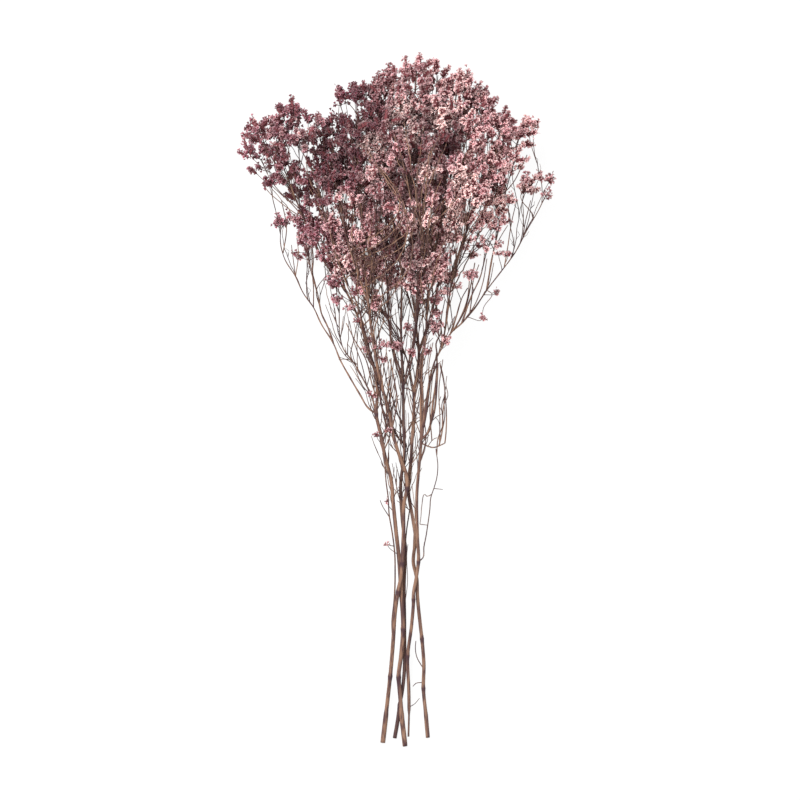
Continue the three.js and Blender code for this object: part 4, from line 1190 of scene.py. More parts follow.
def grow_spike(shape, spike, own, rng):
    """A spike: a stalk, packed bracts round it, and florets that stand out all round."""
    on_stalk = grow_stalk(shape, spike, rng)
    grow_core(shape, spike, on_stalk, rng)
    feet, ways = floret_places(spike, on_stalk, rng)
    stray = rng.uniform(0, 1, len(feet)) < STRAY_SHARE
    tips = feet[stray] + ways[stray] * rng.uniform(*STRAY_REACH, (np.count_nonzero(stray), 1))
    add_sticks(shape, feet[stray], tips, POINT_RADIUS, bark_tones(len(tips), fresh=0.8))
    feet[stray] = tips - 0.1 * ways[stray]
    grow_florets(shape, feet, ways, own, rng)


def grow_florets(shape, feet, ways, own, rng):
    """Florets of each model, drawn at random for each foot."""
    kinds = rng.choice(len(FLORET_MIX), len(feet), p=FLORET_MIX)
    tones = tones_of(feet, own, rng)
    sizes = rng.uniform(*FLORET_SIZES, (len(feet), 1)) * rng.uniform(*CRUMPLE, (len(feet), 3))
    spins = rng.uniform(0, math.tau, len(feet))
    for kind, model in enumerate(bunch()["florets"]):
        chosen = kinds == kind
        if chosen.any():
            picked = (feet[chosen], ways[chosen], spins[chosen], sizes[chosen], tones[chosen])
            add_copies(shape, model, *picked, PETAL)


def make_florets():
    """The models of a floret, in the order of FLORET_MIX."""
    return [
        model_cup(rim=1.75, height=2.0, notch=0.74, throat=0.95),
        model_floret(collar=0.6, rim=1.5, height=2.4, throat=1.3),
        model_bud(width=0.72, height=2.2),
    ]


def rng_at(x, y):
    """A random source for a place, so that a change at one place leaves the others as they are."""
    return np.random.default_rng((GROWTH_SEED, round(x) + FAR_CORNER, round(y) + FAR_CORNER))


def is_near(round_place, x, y):
    """Whether a place lies in a round one, given as (x, y, radius)."""
    at, up, radius = round_place
    return math.hypot(x - at, y - up) < radius


def is_open(x, y):
    """Whether a place lies where the bunch is more open."""
    return any(is_near(place, x, y) for place in OPEN_PLACES)


def feeder_end(spray, k, rng):
    """Where feeder number k of a spray ends, and how that lies aside from the spray's root."""
    angle = spray["phase"] + math.tau * k / FEEDERS + rng.uniform(-0.5, 0.5)
    aside = around(square_to(spray["lean"]), rng.uniform(0.22, 0.42) * spray["reach"], angle)
    return spray["root"] + aside + spray["lean"] * rng.uniform(0, 0.25) * spray["reach"], aside


def new_feeder(spray, end, aside, rng):
    """A thin twig from the limb behind a spray, with a small spike of florets at its end."""
    samples = spray["limb"]["samples"]
    back = spray["root"][1] - rng.uniform(*FEEDER_BACK)
    fork = min(int(np.argmin(np.abs(samples[:, 1] - back))), len(samples) - 2)
    start, along = samples[fork], unit(samples[fork + 1] - samples[fork])
    way = unit(spray["lean"] + 0.5 * unit(aside))
    third = np.linalg.norm(end - start) / 3
    ends = (start, start + along * third + 0.5 * aside, end - way * third, end)
    length = rng.uniform(0.42, 0.6) * spray["reach"]
    spike = dict(start=end, way=way, length=length, neck=FEEDER_NECK, radius=0.8 * spray["radius"])
    return dict(stem=spray["stem"], spray=spray["name"], ends=ends, spike=spike)


def plan_feeders(sprays):
    """Thin twigs that reach each spray from further back, except where the bunch is open."""
    feeders = []
    for spray in sprays:
        rng = rng_at(*spray["root"][:2])
        for k in range(FEEDERS if spray["reach"] > WIDE_SPRAY else 1):
            end, aside = feeder_end(spray, k, rng)
            if not is_open(end[0], end[1]):
                feeders.append(new_feeder(spray, end, aside, rng))
    return feeders


def is_inside(outline, x, y):
    """Whether a place lies inside an outline, as seen from above."""
    this = np.array(outline, float)
    after = np.roll(this, -1, axis=0)
    passes = (this[:, 1] > y) != (after[:, 1] > y)
    rise = np.where(passes, after[:, 1] - this[:, 1], 1)
    at = this[:, 0] + (y - this[:, 1]) / rise * (after[:, 0] - this[:, 0])
    return bool(np.count_nonzero(passes & (at > x)) % 2)


def layers_at(spikes, x, y):
    """How many spikes cover a place, as seen from above."""
    starts = np.array([one["start"][:2] for one in spikes])
    tips = np.array([(one["start"] + one["length"] * one["way"])[:2] for one in spikes])
    ways = tips - starts
    share = ((np.array([x, y]) - starts) * ways).sum(1) / np.maximum((ways**2).sum(1), 0.01)
    nearest = starts + np.clip(share, 0.2, 1)[:, None] * ways
    return int(np.count_nonzero(np.hypot(*(nearest - (x, y)).T) < SPIKE_COVER))


def small_panicle(root, lean, size, radius, count, rng):
    """Spikes of a small panicle: one on top and the others round it."""
    spikes = []
    phase = rng.uniform(0, math.tau)
    for k in range(count):
        cone = rng.uniform(0, 0.3) if k == 0 else rng.uniform(0.45, 1.05)
        way = lean * math.cos(cone) + around(square_to(lean), math.sin(cone), phase + GOLDEN * k)
        length = size * (1 if k == 0 else rng.uniform(0.65, 0.95))
        start = root - lean * (0 if k == 0 else rng.uniform(0, 0.35) * size)
        spikes.append(dict(start=start, way=way, length=length, neck=0.15 * length, radius=radius))
    return spikes


class Wood:
    """The wood of one stem that a thin twig can leave from: places, and the way the wood grows there."""

    def __init__(self, limbs):
        self.places = np.vstack([limb["samples"][:-1] for limb in limbs])
        nexts = np.vstack([limb["samples"][1:] for limb in limbs])
        self.ways = units(nexts - self.places)

    def fork_for(self, root, wanted):
        """The best place behind a root, about as far back as is wanted."""
        aside = np.hypot(self.places[:, 0] - root[0], self.places[:, 2] - root[2])
        behind = root[1] - self.places[:, 1]
        too_near = behind < FORK_BACK + 0.5 * aside
        cost = np.abs(behind - wanted) + 1.3 * aside + WHOLE_BUNCH * too_near
        fork = int(np.argmin(cost))
        return self.places[fork], self.ways[fork]

    def take_in(self, points):
        """Lets later twigs leave from this one, though not from its last third."""
        kept = points[2 : 2 * len(points) // 3 + 1]
        self.places = np.vstack([self.places, kept[:-1]])
        self.ways = np.vstack([self.ways, units(np.diff(kept, axis=0))])


def crooked(points, most, rng):
    """A curve with small kinks between its ends."""
    points = points.copy()
    points[1:-1] += rng.uniform(-most, most, (len(points) - 2, 3))
    return points


def long_twig(wood, root, lean, lift, rng):
    """A thin twig from the wood far behind to the foot of a small panicle."""
    start, along = wood.fork_for(root, rng.uniform(*TWIG_REACH) + 2 * lift)
    third = np.linalg.norm(root - start) / 3
    spread = unit(along + 0.8 * unit(root - start))
    bow = rng.uniform(-0.12, 0.12, 3) * third + (0, 0, lift)
    ends = (start, start + spread * third + bow, root - unit(lean + spread) * third - 0.5 * bow, root)
    points = crooked(bezier(ends, max(6, int(third / 3))), 0.6, rng)
    wood.take_in(points)
    return points


def hooks_of(points, rng):
    """Short bare twiglets with a hooked end, along a long twig."""
    found = []
    for _ in range(rng.integers(0, HOOKS + 1)):
        j = rng.integers(1, max(2, len(points) - 3))
        along = unit(points[j + 1] - points[j])
        aside = unit(np.cross(along, rng.uniform(-1, 1, 3)))
        length = rng.uniform(4, 12)
        bend = points[j] + 0.6 * length * unit(along + 0.7 * aside)
        tip = bend + 0.45 * length * unit(along + rng.uniform(-1.3, 1.3) * aside)
        found.append(np.array([points[j], bend, tip]))
    return found


def filling_place(x, y, hearts, rng):
    """The middle of a small panicle at a place in the view from above, near the depth of its neighbours."""
    nearest = np.argsort(np.hypot(hearts[:, 0] - x, hearts[:, 1] - y))[:3]
    z = 0.8 * hearts[rng.choice(nearest), 2] + 14 + rng.uniform(-16, 12)
    return np.array([x, y, max(8, z)]), rng.choice(nearest)


def new_panicle(middle, size, stem_name, woods, rng, lift=0.0):
    """A small panicle with its long twig, its hooks and its spikes."""
    lean = unit((middle - FAN_POINT) * (1, 1, 0.9) + rng.uniform(-35, 35, 3))
    root = middle - 0.45 * size * lean
    twig = long_twig(woods[stem_name], root, lean, lift, rng)
    spikes = small_panicle(root, lean, size, rng.uniform(3.0, 3.9), FILL_SPIKES, rng)
    return dict(stem=stem_name, twig=twig, hooks=hooks_of(twig, rng), spikes=spikes)


def filling_cells():
    """The cells of a staggered grid over the crown, as (x, y)."""
    for row, y in enumerate(np.arange(*FILL_ROWS, 0.87 * FILL_STEP)):
        for x in np.arange(*FILL_SIDES, FILL_STEP) + 0.5 * FILL_STEP * (row % 2):
            yield x, y


def wants_filling(x, y, known, rng):
    """Whether a place in the crown has too few spikes over it."""
    if not any(is_inside(outline, x, y) for outline in CROWN_OUTLINES) or is_open(x, y):
        return False
    wanted = FILL_LAYERS + is_near(PACKED_PLACE, x, y) + rng.uniform(-1, 1)
    return layers_at(known, x, y) <= wanted


def plan_filling(limbs, sprays, known):
    """Small panicles wherever the crown would show a gap that the real one doesn't have."""
    woods = {name: Wood([limb for limb in limbs if limb["stem"] == name]) for name in STEMS}
    hearts = np.array([one["root"] + 0.4 * one["reach"] * one["lean"] for one in sprays])
    found = []
    for cell in filling_cells():
        rng = rng_at(*cell)
        x, y = np.array(cell) + rng.uniform(-0.3, 0.3, 2) * FILL_STEP
        if wants_filling(x, y, known, rng):
            middle, number = filling_place(x, y, hearts, rng)
            size = rng.uniform(*FILL_SIZES)
            found.append(new_panicle(middle, size, sprays[number]["stem"], woods, rng))
    for x, y, z, size in FRONT_PANICLES:
        nearest = int(np.argmin(np.hypot(hearts[:, 0] - x, hearts[:, 1] - y)))
        middle = np.array([x, y, z], float)
        stem = sprays[nearest]["stem"]
        found.append(new_panicle(middle, size, stem, woods, rng_at(x, y), lift=0.17 * z - 6))
    return found


def plan_small_clusters(limbs):
    """Small clusters below the crown: a short twig from the nearest limb, then a few tiny spikes."""
    rng = np.random.default_rng(GROWTH_SEED)
    clusters = []
    samples = np.vstack([limb["samples"][:-1] for limb in limbs])
    stems = sum([[limb["stem"]] * (len(limb["samples"]) - 1) for limb in limbs], [])
    for x, y, count, length in SMALL_CLUSTERS:
        far = np.hypot(samples[:, 0] - x, samples[:, 1] - (y - 14)) - 0.1 * samples[:, 2]
        nearest = int(np.argmin(far))
        start = samples[nearest]
        root = np.array([x, y - 0.3 * length, start[2] + 4.0])
        lean = unit(np.array([0.2 * (x - start[0]), 6.0, 3.0]))
        third = np.linalg.norm(root - start) / 3
        ends = (start, start + third * np.array([0, 1, 0]), root - lean * third, root)
        spikes = []
        for k in range(count):
            cone = 0 if count == 1 else rng.uniform(0.3, 1.1)
            way = lean * math.cos(cone) + around(square_to(lean), math.sin(cone), GOLDEN * k)
            spikes.append(dict(start=root, way=way, length=length, neck=0.2 * length, radius=3.2))
        clusters.append(dict(stem=stems[nearest], ends=ends, spikes=spikes))
    return clusters


def tops_of(spikes):
    """Places along the spikes, for the height of the crown's upper side."""
    shares = (0.3, 0.6, 1)
    places = [one["start"] + share * one["length"] * one["way"] for one in spikes for share in shares]
    return np.vstack(places)


PLAN = {}


def bunch():
    """The plan of the whole bunch, made once."""
    if not PLAN:
        limbs, sprays = plan_bunch()
        feeders = plan_feeders(sprays)
        known = sum([spray["spikes"] for spray in sprays], []) + [feeder["spike"] for feeder in feeders]
        filling = plan_filling(limbs, sprays, known)
        spikes = known + sum([panicle["spikes"] for panicle in filling], [])
        PLAN.update(
            limbs=limbs,
            tops=tops_of(spikes),
            sprays=sprays,
            feeders=feeders,
            filling=filling,
            clusters=plan_small_clusters(limbs),
            florets=make_florets(),
            scale_leaf=model_scale_leaf(),
        )
    return PLAN


def main_radii(stem, points, forks):
    """Radii along a main limb: taper, swollen nodes, and a slight swell where a limb leaves."""
    end, middle, crown = stem["radii"]
    y = points[:, 1]
    share = (y - BUNCH_END) / -BUNCH_END
    thinned = np.clip((share - TAPER[0]) / (TAPER[1] - TAPER[0]), 0, 1)
    plain = middle + (crown - middle) * thinned
    plain = end + (plain - end) * eased(share, END_SHARE - 0.01, END_SHARE + 0.01)
    node = np.zeros(len(y))
    stain = 0.5 * (1 - eased(y, BUNCH_END + 2, BUNCH_END + 26))
    for place in stem["swells"]:
        node = np.maximum(node, np.exp(-(((y - place) / NODE_LENGTH) ** 2)))
        reach = np.where(y > place, 1.2, 3.2) * NODE_LENGTH
        stain = np.maximum(stain, 0.9 * np.exp(-(((y - place) / reach) ** 2)))
    fork = np.zeros(len(y))
    for place in forks:
        fork = np.maximum(fork, np.exp(-(((y - place) / (1.5 * NODE_LENGTH)) ** 2)))
    finer = 1 - (1 - CROWN_SLIM) * eased(y, 0, 190)
    return finer * plain * (1 + (SWELL - 1) * node + 0.1 * fork), np.maximum(stain, 0.4 * fork)


def add_main_limb(shape, stem, limb, forks, rng):
    """A main limb with three soft ridges that wind a little, and rough bark."""
    points = smooth_line(limb["points"], 2.5)
    radii, node = main_radii(stem, points, forks)
    turn = np.cumsum(rng.uniform(-0.06, 0.06, len(points)))
    ridges = 1 + 0.05 * np.cos(3 * full_turn(MAIN_SIDES)[None] + turn[:, None])
    ridges += rng.uniform(-0.015, 0.015, (len(points), MAIN_SIDES))
    add_tube(shape, points, radii[:, None] * ridges, MAIN_SIDES, bark_tones(len(points), node=node))


def add_limb(shape, limb):
    """A side limb: it tapers, with a slight swell every few millimetres."""
    points = smooth_line(limb["points"], 3)
    count = len(points)
    kinks = 0.12 * np.sin(np.arange(count) * 0.9)
    tones = bark_tones(count, node=np.maximum(0, kinks) * 2, fresh=np.linspace(0.5, 0.7, count))
    add_tube(shape, points, np.linspace(*FINE_LIMB, count) * (1 + kinks), 8, tones)


def add_twig(shape, points, radii, sides=5, fresh=0.6):
    """A twig along its points, thinner towards its end."""
    add_tube(shape, points, np.linspace(*radii, len(points)), sides, bark_tones(len(points), fresh=fresh))


def add_hooks(shape, hooks, fresh):
    for hook in hooks:
        add_twig(shape, hook, HOOK, sides=3, fresh=fresh)


def nearest_of(known, x, y):
    """The known place that lies nearest, as seen from above."""
    return known[int(np.argmin(np.hypot(known[:, 0] - x, known[:, 1] - y)))]


def above_line(point):
    """How high a place is above the rising line of the bunch."""
    return point[2] - END_HEIGHT - RISE * (point[1] - BUNCH_END)


def fine_twig_points(known, height, route):
    """A fine twig's route: it starts on the nearest known wood and rises or sinks to its own height."""
    start = nearest_of(known, *route[0])
    low, last = above_line(start), len(route) - 1
    points = [placed((x, y, low + (height - low) * k / last)) for k, (x, y) in enumerate(route)]
    return smooth_line([start] + points[1:], 3)


def add_fine_twigs(shape, stem_name, limbs, rng):
    """The fine twigs that can be read one by one; a later one may leave an earlier one."""
    known = np.vstack([limb["samples"] for limb in limbs])
    for height, radius, route in FINE_TWIGS[stem_name]:
        points = fine_twig_points(known, height, route)
        add_twig(shape, points, (0.15 + radius, 0.15 + 0.6 * radius), fresh=rng.uniform(*TWIG_TINTS))
        known = np.vstack([known, points])


def side_twig(start, along, number, rng):
    """A bare twig of a limb; the ones with odd numbers stand on one side and the even ones on the other."""
    cone = rng.uniform(0.3, 0.75)
    angle = number * math.pi + rng.uniform(-1.1, 1.1)
    way = along * math.cos(cone) + around(square_to(along), math.sin(cone), angle)
    length = rng.uniform(*SIDE_TWIG_LENGTHS)
    end = start + length * unit(way + np.array([0, 0.8, 0]))
    end[2] = max(end[2], LOWEST_TIP)
    ends = (start, start + way * length / 3, end - length / 3 * unit(along + way), end)
    return crooked(bezier(ends, max(5, int(length / 5))), 0.5, rng)


def twiglets_of(points, rng):
    """Up to two short twigs of a side twig, each with a bend."""
    found = []
    for _ in range(rng.integers(0, 3)):
        j = rng.integers(1, len(points) - 2)
        turn = unit(unit(points[j + 1] - points[j]) + rng.uniform(-0.7, 0.7, 3))
        tip = points[j] + rng.uniform(8, 22) * turn
        bend = (points[j] + tip) / 2 + rng.uniform(-0.8, 0.8, 3)
        found.append(np.array([points[j], bend, tip]))
    return found


def side_twigs(limb, rng):
    """Bare side twigs of a limb, each followed by its own twiglets."""
    low, high = SIDE_TWIG_SPAN
    samples = limb["samples"]
    twigs, number = [], 0
    for i in range(0, len(samples) - 8, 5):
        if low < samples[i][1] < high and rng.uniform() >= SIDE_TWIG_MISS:
            number += 1
            twig = side_twig(samples[i], unit(samples[i + 1] - samples[i]), number, rng)
            twigs += [twig] + twiglets_of(twig, rng)
    return twigs


def crown_top(plan, x, y):
    """How high the crown's upper side is at a place."""
    near = np.hypot(plan["tops"][:, 0] - x, plan["tops"][:, 1] - y) < TOP_COVER
    return plan["tops"][near, 2].max() if near.any() else placed((x, y, BARE_TOP))[2]


def add_front_twigs(shape, stem_name, limbs, plan, rng):
    """Long bare twigs that run on the crown's upper side and sink in among the florets at their end."""
    known = np.vstack([limb["samples"] for limb in limbs])
    for route in FRONT_TWIGS.get(stem_name, []):
        points = [np.array([x, y, crown_top(plan, x, y) + FRONT_LIFT]) for x, y in route]
        points[0] = nearest_of(known, *route[0])
        points[-1][2] -= FRONT_SINK
        points = crooked(smooth_line(points, 7), 0.7, rng)
        add_twig(shape, points, FRONT_TWIG, fresh=0.45)
        add_hooks(shape, hooks_of(points, rng) + hooks_of(points, rng), fresh=0.6)


def add_scale_leaves(shape, limbs, model, rng):
    """A dry scale under the foot of each limb but the main one."""
    feet, ways = [], []
    for limb in limbs:
        if limb["name"] != "main":
            way = unit(limb["points"][1] - limb["points"][0])
            feet.append(limb["points"][0] + 0.5 * way)
            ways.append(way)
    if feet:
        count = len(feet)
        spins = rng.uniform(0, math.tau, count)
        tones = bark_tones(count, node=1.0, fresh=0.2)
        leaf = (*model[:2], np.full(len(model[0]), 0.9))
        add_copies(shape, leaf, np.array(feet), np.array(ways), spins, np.full(count, 1.1), tones, BARK)


def add_limbs(shape, stem_name, limbs, rng):
    """The limbs of a stem, each with its side twigs."""
    forks = [limb["points"][0][1] for limb in limbs if limb["name"] != "main"]
    for limb in limbs:
        if limb["name"] == "main":
            add_main_limb(shape, STEMS[stem_name], limb, forks, rng)
        else:
            add_limb(shape, limb)
        if limb["name"] in SIDE_TWIG_LIMBS:
            for points in side_twigs(limb, rng):
                add_twig(shape, points, SIDE_TWIG, sides=4, fresh=rng.uniform(*TWIG_TINTS))


def of_stem(things, stem_name):
    return [one for one in things if one["stem"] == stem_name]


def add_planned_twigs(shape, stem_name, plan, rng):
    """The twigs of a stem that carry sprays, feeders and small clusters."""
    for spray in of_stem(plan["sprays"], stem_name):
        if spray["twig"]:
            add_twig(shape, bezier(spray["twig"], 16), FINE_TWIG, sides=6)
    for feeder in of_stem(plan["feeders"], stem_name):
        twig = crooked(bezier(feeder["ends"], 14), 0.5, rng)
        add_twig(shape, twig, FEEDER, sides=4, fresh=rng.uniform(*TWIG_TINTS))
        add_hooks(shape, hooks_of(twig, rng), fresh=0.7)
    for cluster in of_stem(plan["clusters"], stem_name):
        add_twig(shape, bezier(cluster["ends"], 6), CLUSTER_TWIG, sides=4, fresh=0.7)


def stem_shape(stem_name):
    """A whole stem: its limbs, its twigs and its dry scales."""
    plan, shape = bunch(), Shape()
    rng = np.random.default_rng(GROWTH_SEED + int(stem_name[-1]))
    limbs = of_stem(plan["limbs"], stem_name)
    add_limbs(shape, stem_name, limbs, rng)
    add_planned_twigs(shape, stem_name, plan, rng)
    add_fine_twigs(shape, stem_name, limbs, rng)
    add_front_twigs(shape, stem_name, limbs, plan, rng)
    add_scale_leaves(shape, limbs, plan["scale_leaf"], rng)
    return shape


def slimmer(spike):
    """A spike as slim as the real ones are; those on the right arm and at open places are slimmer still."""
    x, y, _ = spike["start"]
    if is_open(x, y):
        return dict(spike, radius=ARM_SLIM * spike["radius"], length=OPEN_SHORT * spike["length"])
    on_arm = x > ARM_CORNER[0] and y < ARM_CORNER[1]
    return dict(spike, radius=(ARM_SLIM if on_arm else SPIKE_SLIM) * spike["radius"])


def spray_shape(spray):
    """A spray: its axis, its spikes and the spikes of its feeders."""
    plan, shape = bunch(), Shape()
    rng = np.random.default_rng(SPRAY_SEED + int(spray["name"][-2:]))
    own = rng.uniform(-OWN_TINT, OWN_TINT, 2)
    top = spray["root"] + spray["lean"] * spray["steps"] * spray["pitch"]
    add_twig(shape, np.linspace(spray["root"] - SEAT_GAP * spray["lean"], top, 6), AXIS)
    feeders = [feeder["spike"] for feeder in plan["feeders"] if feeder["spray"] == spray["name"]]
    for spike in spray["spikes"] + feeders:
        grow_spike(shape, slimmer(spike), own, rng)
    return shape


def filling_shape(stem_name):
    """The small panicles of a stem, with their long twigs."""
    plan, shape = bunch(), Shape()
    for panicle in of_stem(plan["filling"], stem_name):
        foot = panicle["twig"][-1]
        rng = rng_at(*foot[:2])
        own = rng.uniform(-OWN_TINT, OWN_TINT, 2)
        tints = INNER_TINTS if abs(foot[0]) < INNER_CROWN else TWIG_TINTS
        add_twig(shape, panicle["twig"], FEEDER, sides=4, fresh=rng.uniform(*tints))
        add_hooks(shape, panicle["hooks"], fresh=0.7)
        for spike in panicle["spikes"]:
            grow_spike(shape, spike, own, rng)
    return shape


def cluster_shape():
    """The tiny spikes of every small cluster."""
    plan, shape = bunch(), Shape()
    rng = np.random.default_rng(CLUSTER_SEED)
    for cluster in plan["clusters"]:
        for spike in cluster["spikes"]:
            grow_spike(shape, spike, (0, 0), rng)
    return shape


# Shares of a colour, for red, green and blue.
# A floret near its foot, deeper and redder: partly its own darker base and partly painted shade under the
# cup and in the throat.
DEEP_AND_SHADED = (0.69, 0.435, 0.42)  # a floret near its foot
WORN = (1.4, 1.5, 1.55)  # bark where it is worn

# The stage, in metres.
FLOOR_SIZE = 14
FLOOR_GLOW = 0.92
KEY_PLACE = (-0.9, 0.9, 2.2)
KEY_AIM = (0, 0.1, 0.05)  # the place that the key light looks at
KEY_SIZE = 1.4
CAMERA_PLACE = (0.001, 0.0044)
FIELD_HEIGHT = 0.045  # where the width of the picture is measured
SENSOR = 36  # mm
FAR_END = 50


def colour_property(name, description, default):
    return bpy.props.FloatVectorProperty(
        name=name, description=description, subtype="COLOR", default=default
    )


class BunchColours(bpy.types.PropertyGroup):
    """Colours of the bark and of the florets."""

    bark_1: colour_property("First stem", "Bark of the leftmost stem", (0.25, 0.143, 0.098))
    bark_2: colour_property("Second stem", "Bark of the dark stem", (0.12, 0.07, 0.055))
    bark_3: colour_property("Third stem", "Bark of the longest stem", (0.255, 0.145, 0.1))
    bark_4: colour_property("Fourth stem", "Bark of the stem with the long arm", (0.25, 0.143, 0.098))
    bark_5: colour_property("Fifth stem", "Bark of the rightmost stem", (0.235, 0.136, 0.094))
    node: colour_property("Node", "Bark at the nodes and scales", (0.06, 0.032, 0.04))
    twig: colour_property("Thin twigs", "Bark of the thinnest twigs", (0.112, 0.06, 0.047))
    mauve: colour_property("Mauve", "Florets on the left of the crown", (0.34, 0.132, 0.175))
    pink: colour_property("Pink", "Florets on the right of the crown", (0.61, 0.35, 0.37))
    pale: colour_property("Pale", "The palest papery florets", (0.84, 0.645, 0.605))
    rim: colour_property("Rim", "Thin papery rim of a floret", (0.845, 0.71, 0.71))
    # Foot and throat: partly the floret's own darker base and partly painted shade under the cup and in the
    # throat.
    foot: colour_property("Foot", "Foot and throat of a floret", (0.055, 0.011, 0.015))


class BunchStage(bpy.types.PropertyGroup):
    """The floor, the light and the camera."""

    floor: colour_property("Floor", "Colour of the floor", (0.08, 0.08, 0.08))
    sky: bpy.props.FloatProperty(
        name="Sky", description="Strength of the light from all round", default=0.72, min=0
    )
    key: bpy.props.FloatProperty(
        name="Key light", description="Power of the large light above", default=82.0, unit="POWER", min=0
    )
    lens: bpy.props.FloatProperty(
        name="Lens", description="Focal length of the camera", default=400, unit="CAMERA", min=10
    )
    field: bpy.props.FloatProperty(
        name="Field", description="Width of the picture at the bunch", default=0.804, unit="LENGTH", min=0.1
    )


class Wiring:
    """A material's nodes, added and joined by short calls."""

    def __init__(self, name):
        self.material = bpy.data.materials.new(name)
        self.material.use_nodes = True
        self.tree = self.material.node_tree
        self.shader = self.tree.nodes["Principled BSDF"]

    def add(self, kind, **settings):
        node = self.tree.nodes.new(kind)
        for name, value in settings.items():
            setattr(node, name, value)
        return node

    def set(self, socket, value):
        """Joins a socket to another node's output, or sets its own value."""
        if isinstance(value, bpy.types.NodeSocket):
            self.tree.links.new(value, socket)
        elif isinstance(value, (tuple, list)) or hasattr(value, "copy"):
            needs_alpha = len(value) == 3 and len(socket.default_value) == 4
            socket.default_value = (*value, 1) if needs_alpha else value
        else:
            socket.default_value = value

    def give(self, name, value):
        """Sets an input of the material's shader."""
        self.set(self.shader.inputs[name], value)

    def tones(self):
        """The piece's own tones, as three channels and a fourth."""
        source = self.add("ShaderNodeAttribute", attribute_name="tone")
        split = self.add("ShaderNodeSeparateColor")
        self.set(split.inputs[0], source.outputs["Color"])
        return (*split.outputs, source.outputs["Alpha"])

    def mix(self, share, first, second, blend="MIX"):
        node = self.add("ShaderNodeMix", data_type="RGBA", blend_type=blend)
        self.set(node.inputs[0], share)
        self.set(node.inputs[6], first)
        self.set(node.inputs[7], second)
        return node.outputs[2]

    def ranged(self, value, low, high, to_low=0.0, to_high=1.0):
        node = self.add("ShaderNodeMapRange", interpolation_type="SMOOTHSTEP")
        for socket, number in zip(node.inputs[:5], (value, low, high, to_low, to_high)):
            self.set(socket, number)
        return node.outputs[0]

    def noise(self, scale, detail, stretch=(1, 1, 1)):
        """Noise on object coordinates, stretched along an axis."""
        place = self.add("ShaderNodeTexCoord")
        mapping = self.add("ShaderNodeMapping")
        self.set(mapping.inputs["Vector"], place.outputs["Object"])
        self.set(mapping.inputs["Scale"], stretch)
        node = self.add("ShaderNodeTexNoise")
        self.set(node.inputs["Vector"], mapping.outputs[0])
        self.set(node.inputs["Scale"], scale)
        self.set(node.inputs["Detail"], detail)
        return node.outputs["Fac"]

    def bump(self, height, distance, strength):
        node = self.add("ShaderNodeBump")
        for name, value in (("Height", height), ("Distance", distance), ("Strength", strength)):
            self.set(node.inputs[name], value)
        self.give("Normal", node.outputs[0])


def bark_material(name, colour, colours):
    """Dry bark: fine lengthwise ridges, dark stains, paler worn patches, dark nodes."""
    w = Wiring(name)
    node, fresh, _, _ = w.tones()
    stains = w.noise(90, 4, (1, 0.25, 1))
    patches = w.noise(260, 3, (1, 0.2, 1))
    streaks = w.noise(460, 4, (1, 0.07, 1))
    fine = w.mix(w.ranged(fresh, 0.5, 0.75), colour, colours.twig)
    worn = [share * channel for share, channel in zip(WORN, colour)]
    paler = w.mix(w.ranged(patches, 0.5, 0.7, 0, 0.55), fine, worn)
    stained = w.mix(w.ranged(stains, 0.5, 0.6, 0, 0.42), paler, colours.node)
    dark = w.mix(w.ranged(streaks, 0.38, 0.56, 0.75, 0), stained, colours.node)
    broad = w.mix(w.ranged(node, 0.05, 0.5, 0, 0.92), dark, colours.node)
    narrow = w.mix(w.ranged(node, 0.5, 0.9, 0, 0.85), dark, colours.node)
    w.give("Base Color", w.mix(w.ranged(patches, 0.4, 0.56), broad, narrow))
    w.give("Roughness", w.ranged(streaks, 0.2, 0.8, 0.6, 0.85))
    w.give("Specular IOR Level", 0.08)
    w.bump(streaks, 0.0003, 0.6)
    return w.material


def petal_material(name, colours):
    """Dry papery florets: darker towards the foot and the throat, partly their own darker base and partly
    painted shade under the cup and in the throat, paler towards the rim, mauve, pink or nearly white.
    """
    w = Wiring(name)
    along, brightness_and_painted_light, mauve, pale = w.tones()
    veins = w.noise(1400, 2)
    cloth = w.mix(mauve, colours.pink, colours.mauve)
    cloth = w.mix(w.ranged(pale, 0.0, 1.0, 0.0, 0.95), cloth, colours.pale)
    # Painted shade in part: the lower floret, near the foot and the throat, turns deeper and redder.
    deep_and_shaded = w.mix(1.0, cloth, DEEP_AND_SHADED, "MULTIPLY")
    rim = w.mix(w.ranged(along, 0.65, 1.0, 0.0, 0.6), cloth, colours.rim)
    upper = w.mix(w.ranged(along, 0.3, 0.7), deep_and_shaded, rim)
    body = w.mix(w.ranged(along, 0.05, 0.4), colours.foot, upper)
    # The brightness scales the colour: random tone, with the patches' painted light and shade.
    shade = w.ranged(brightness_and_painted_light, 0.0, 1.0, 0.45, 1.45)
    grey = w.add("ShaderNodeCombineColor")
    for socket in grey.inputs:
        w.set(socket, shade)
    toned = w.mix(1.0, body, grey.outputs[0], "MULTIPLY")
    w.give("Base Color", w.mix(w.ranged(veins, 0.35, 0.65, 0.3, 0), toned, colours.foot))
    w.give("Roughness", w.ranged(veins, 0.2, 0.8, 0.7, 0.9))
    w.give("Specular IOR Level", 0.02)
    w.bump(veins, 0.0002, 0.5)
    return w.material


def floor_material(colour):
    """A pale floor with a faint glow, as of a light table, so that no shadow darkens it."""
    w = Wiring("pale floor")
    grain = w.noise(30, 2)
    darker = [0.9 * channel for channel in colour]
    w.give("Base Color", w.mix(w.ranged(grain, 0.3, 0.7, 0, 0.04), colour, darker))
    w.give("Roughness", 0.9)
    w.give("Emission Color", (1, 1, 1))
    w.give("Emission Strength", FLOOR_GLOW)
    return w.material


MATERIALS = {}


def material(name, make, *settings):
    """A material by its name, made when it is first asked for."""
    if name not in MATERIALS:
        MATERIALS[name] = make(name, *settings)
    return MATERIALS[name]


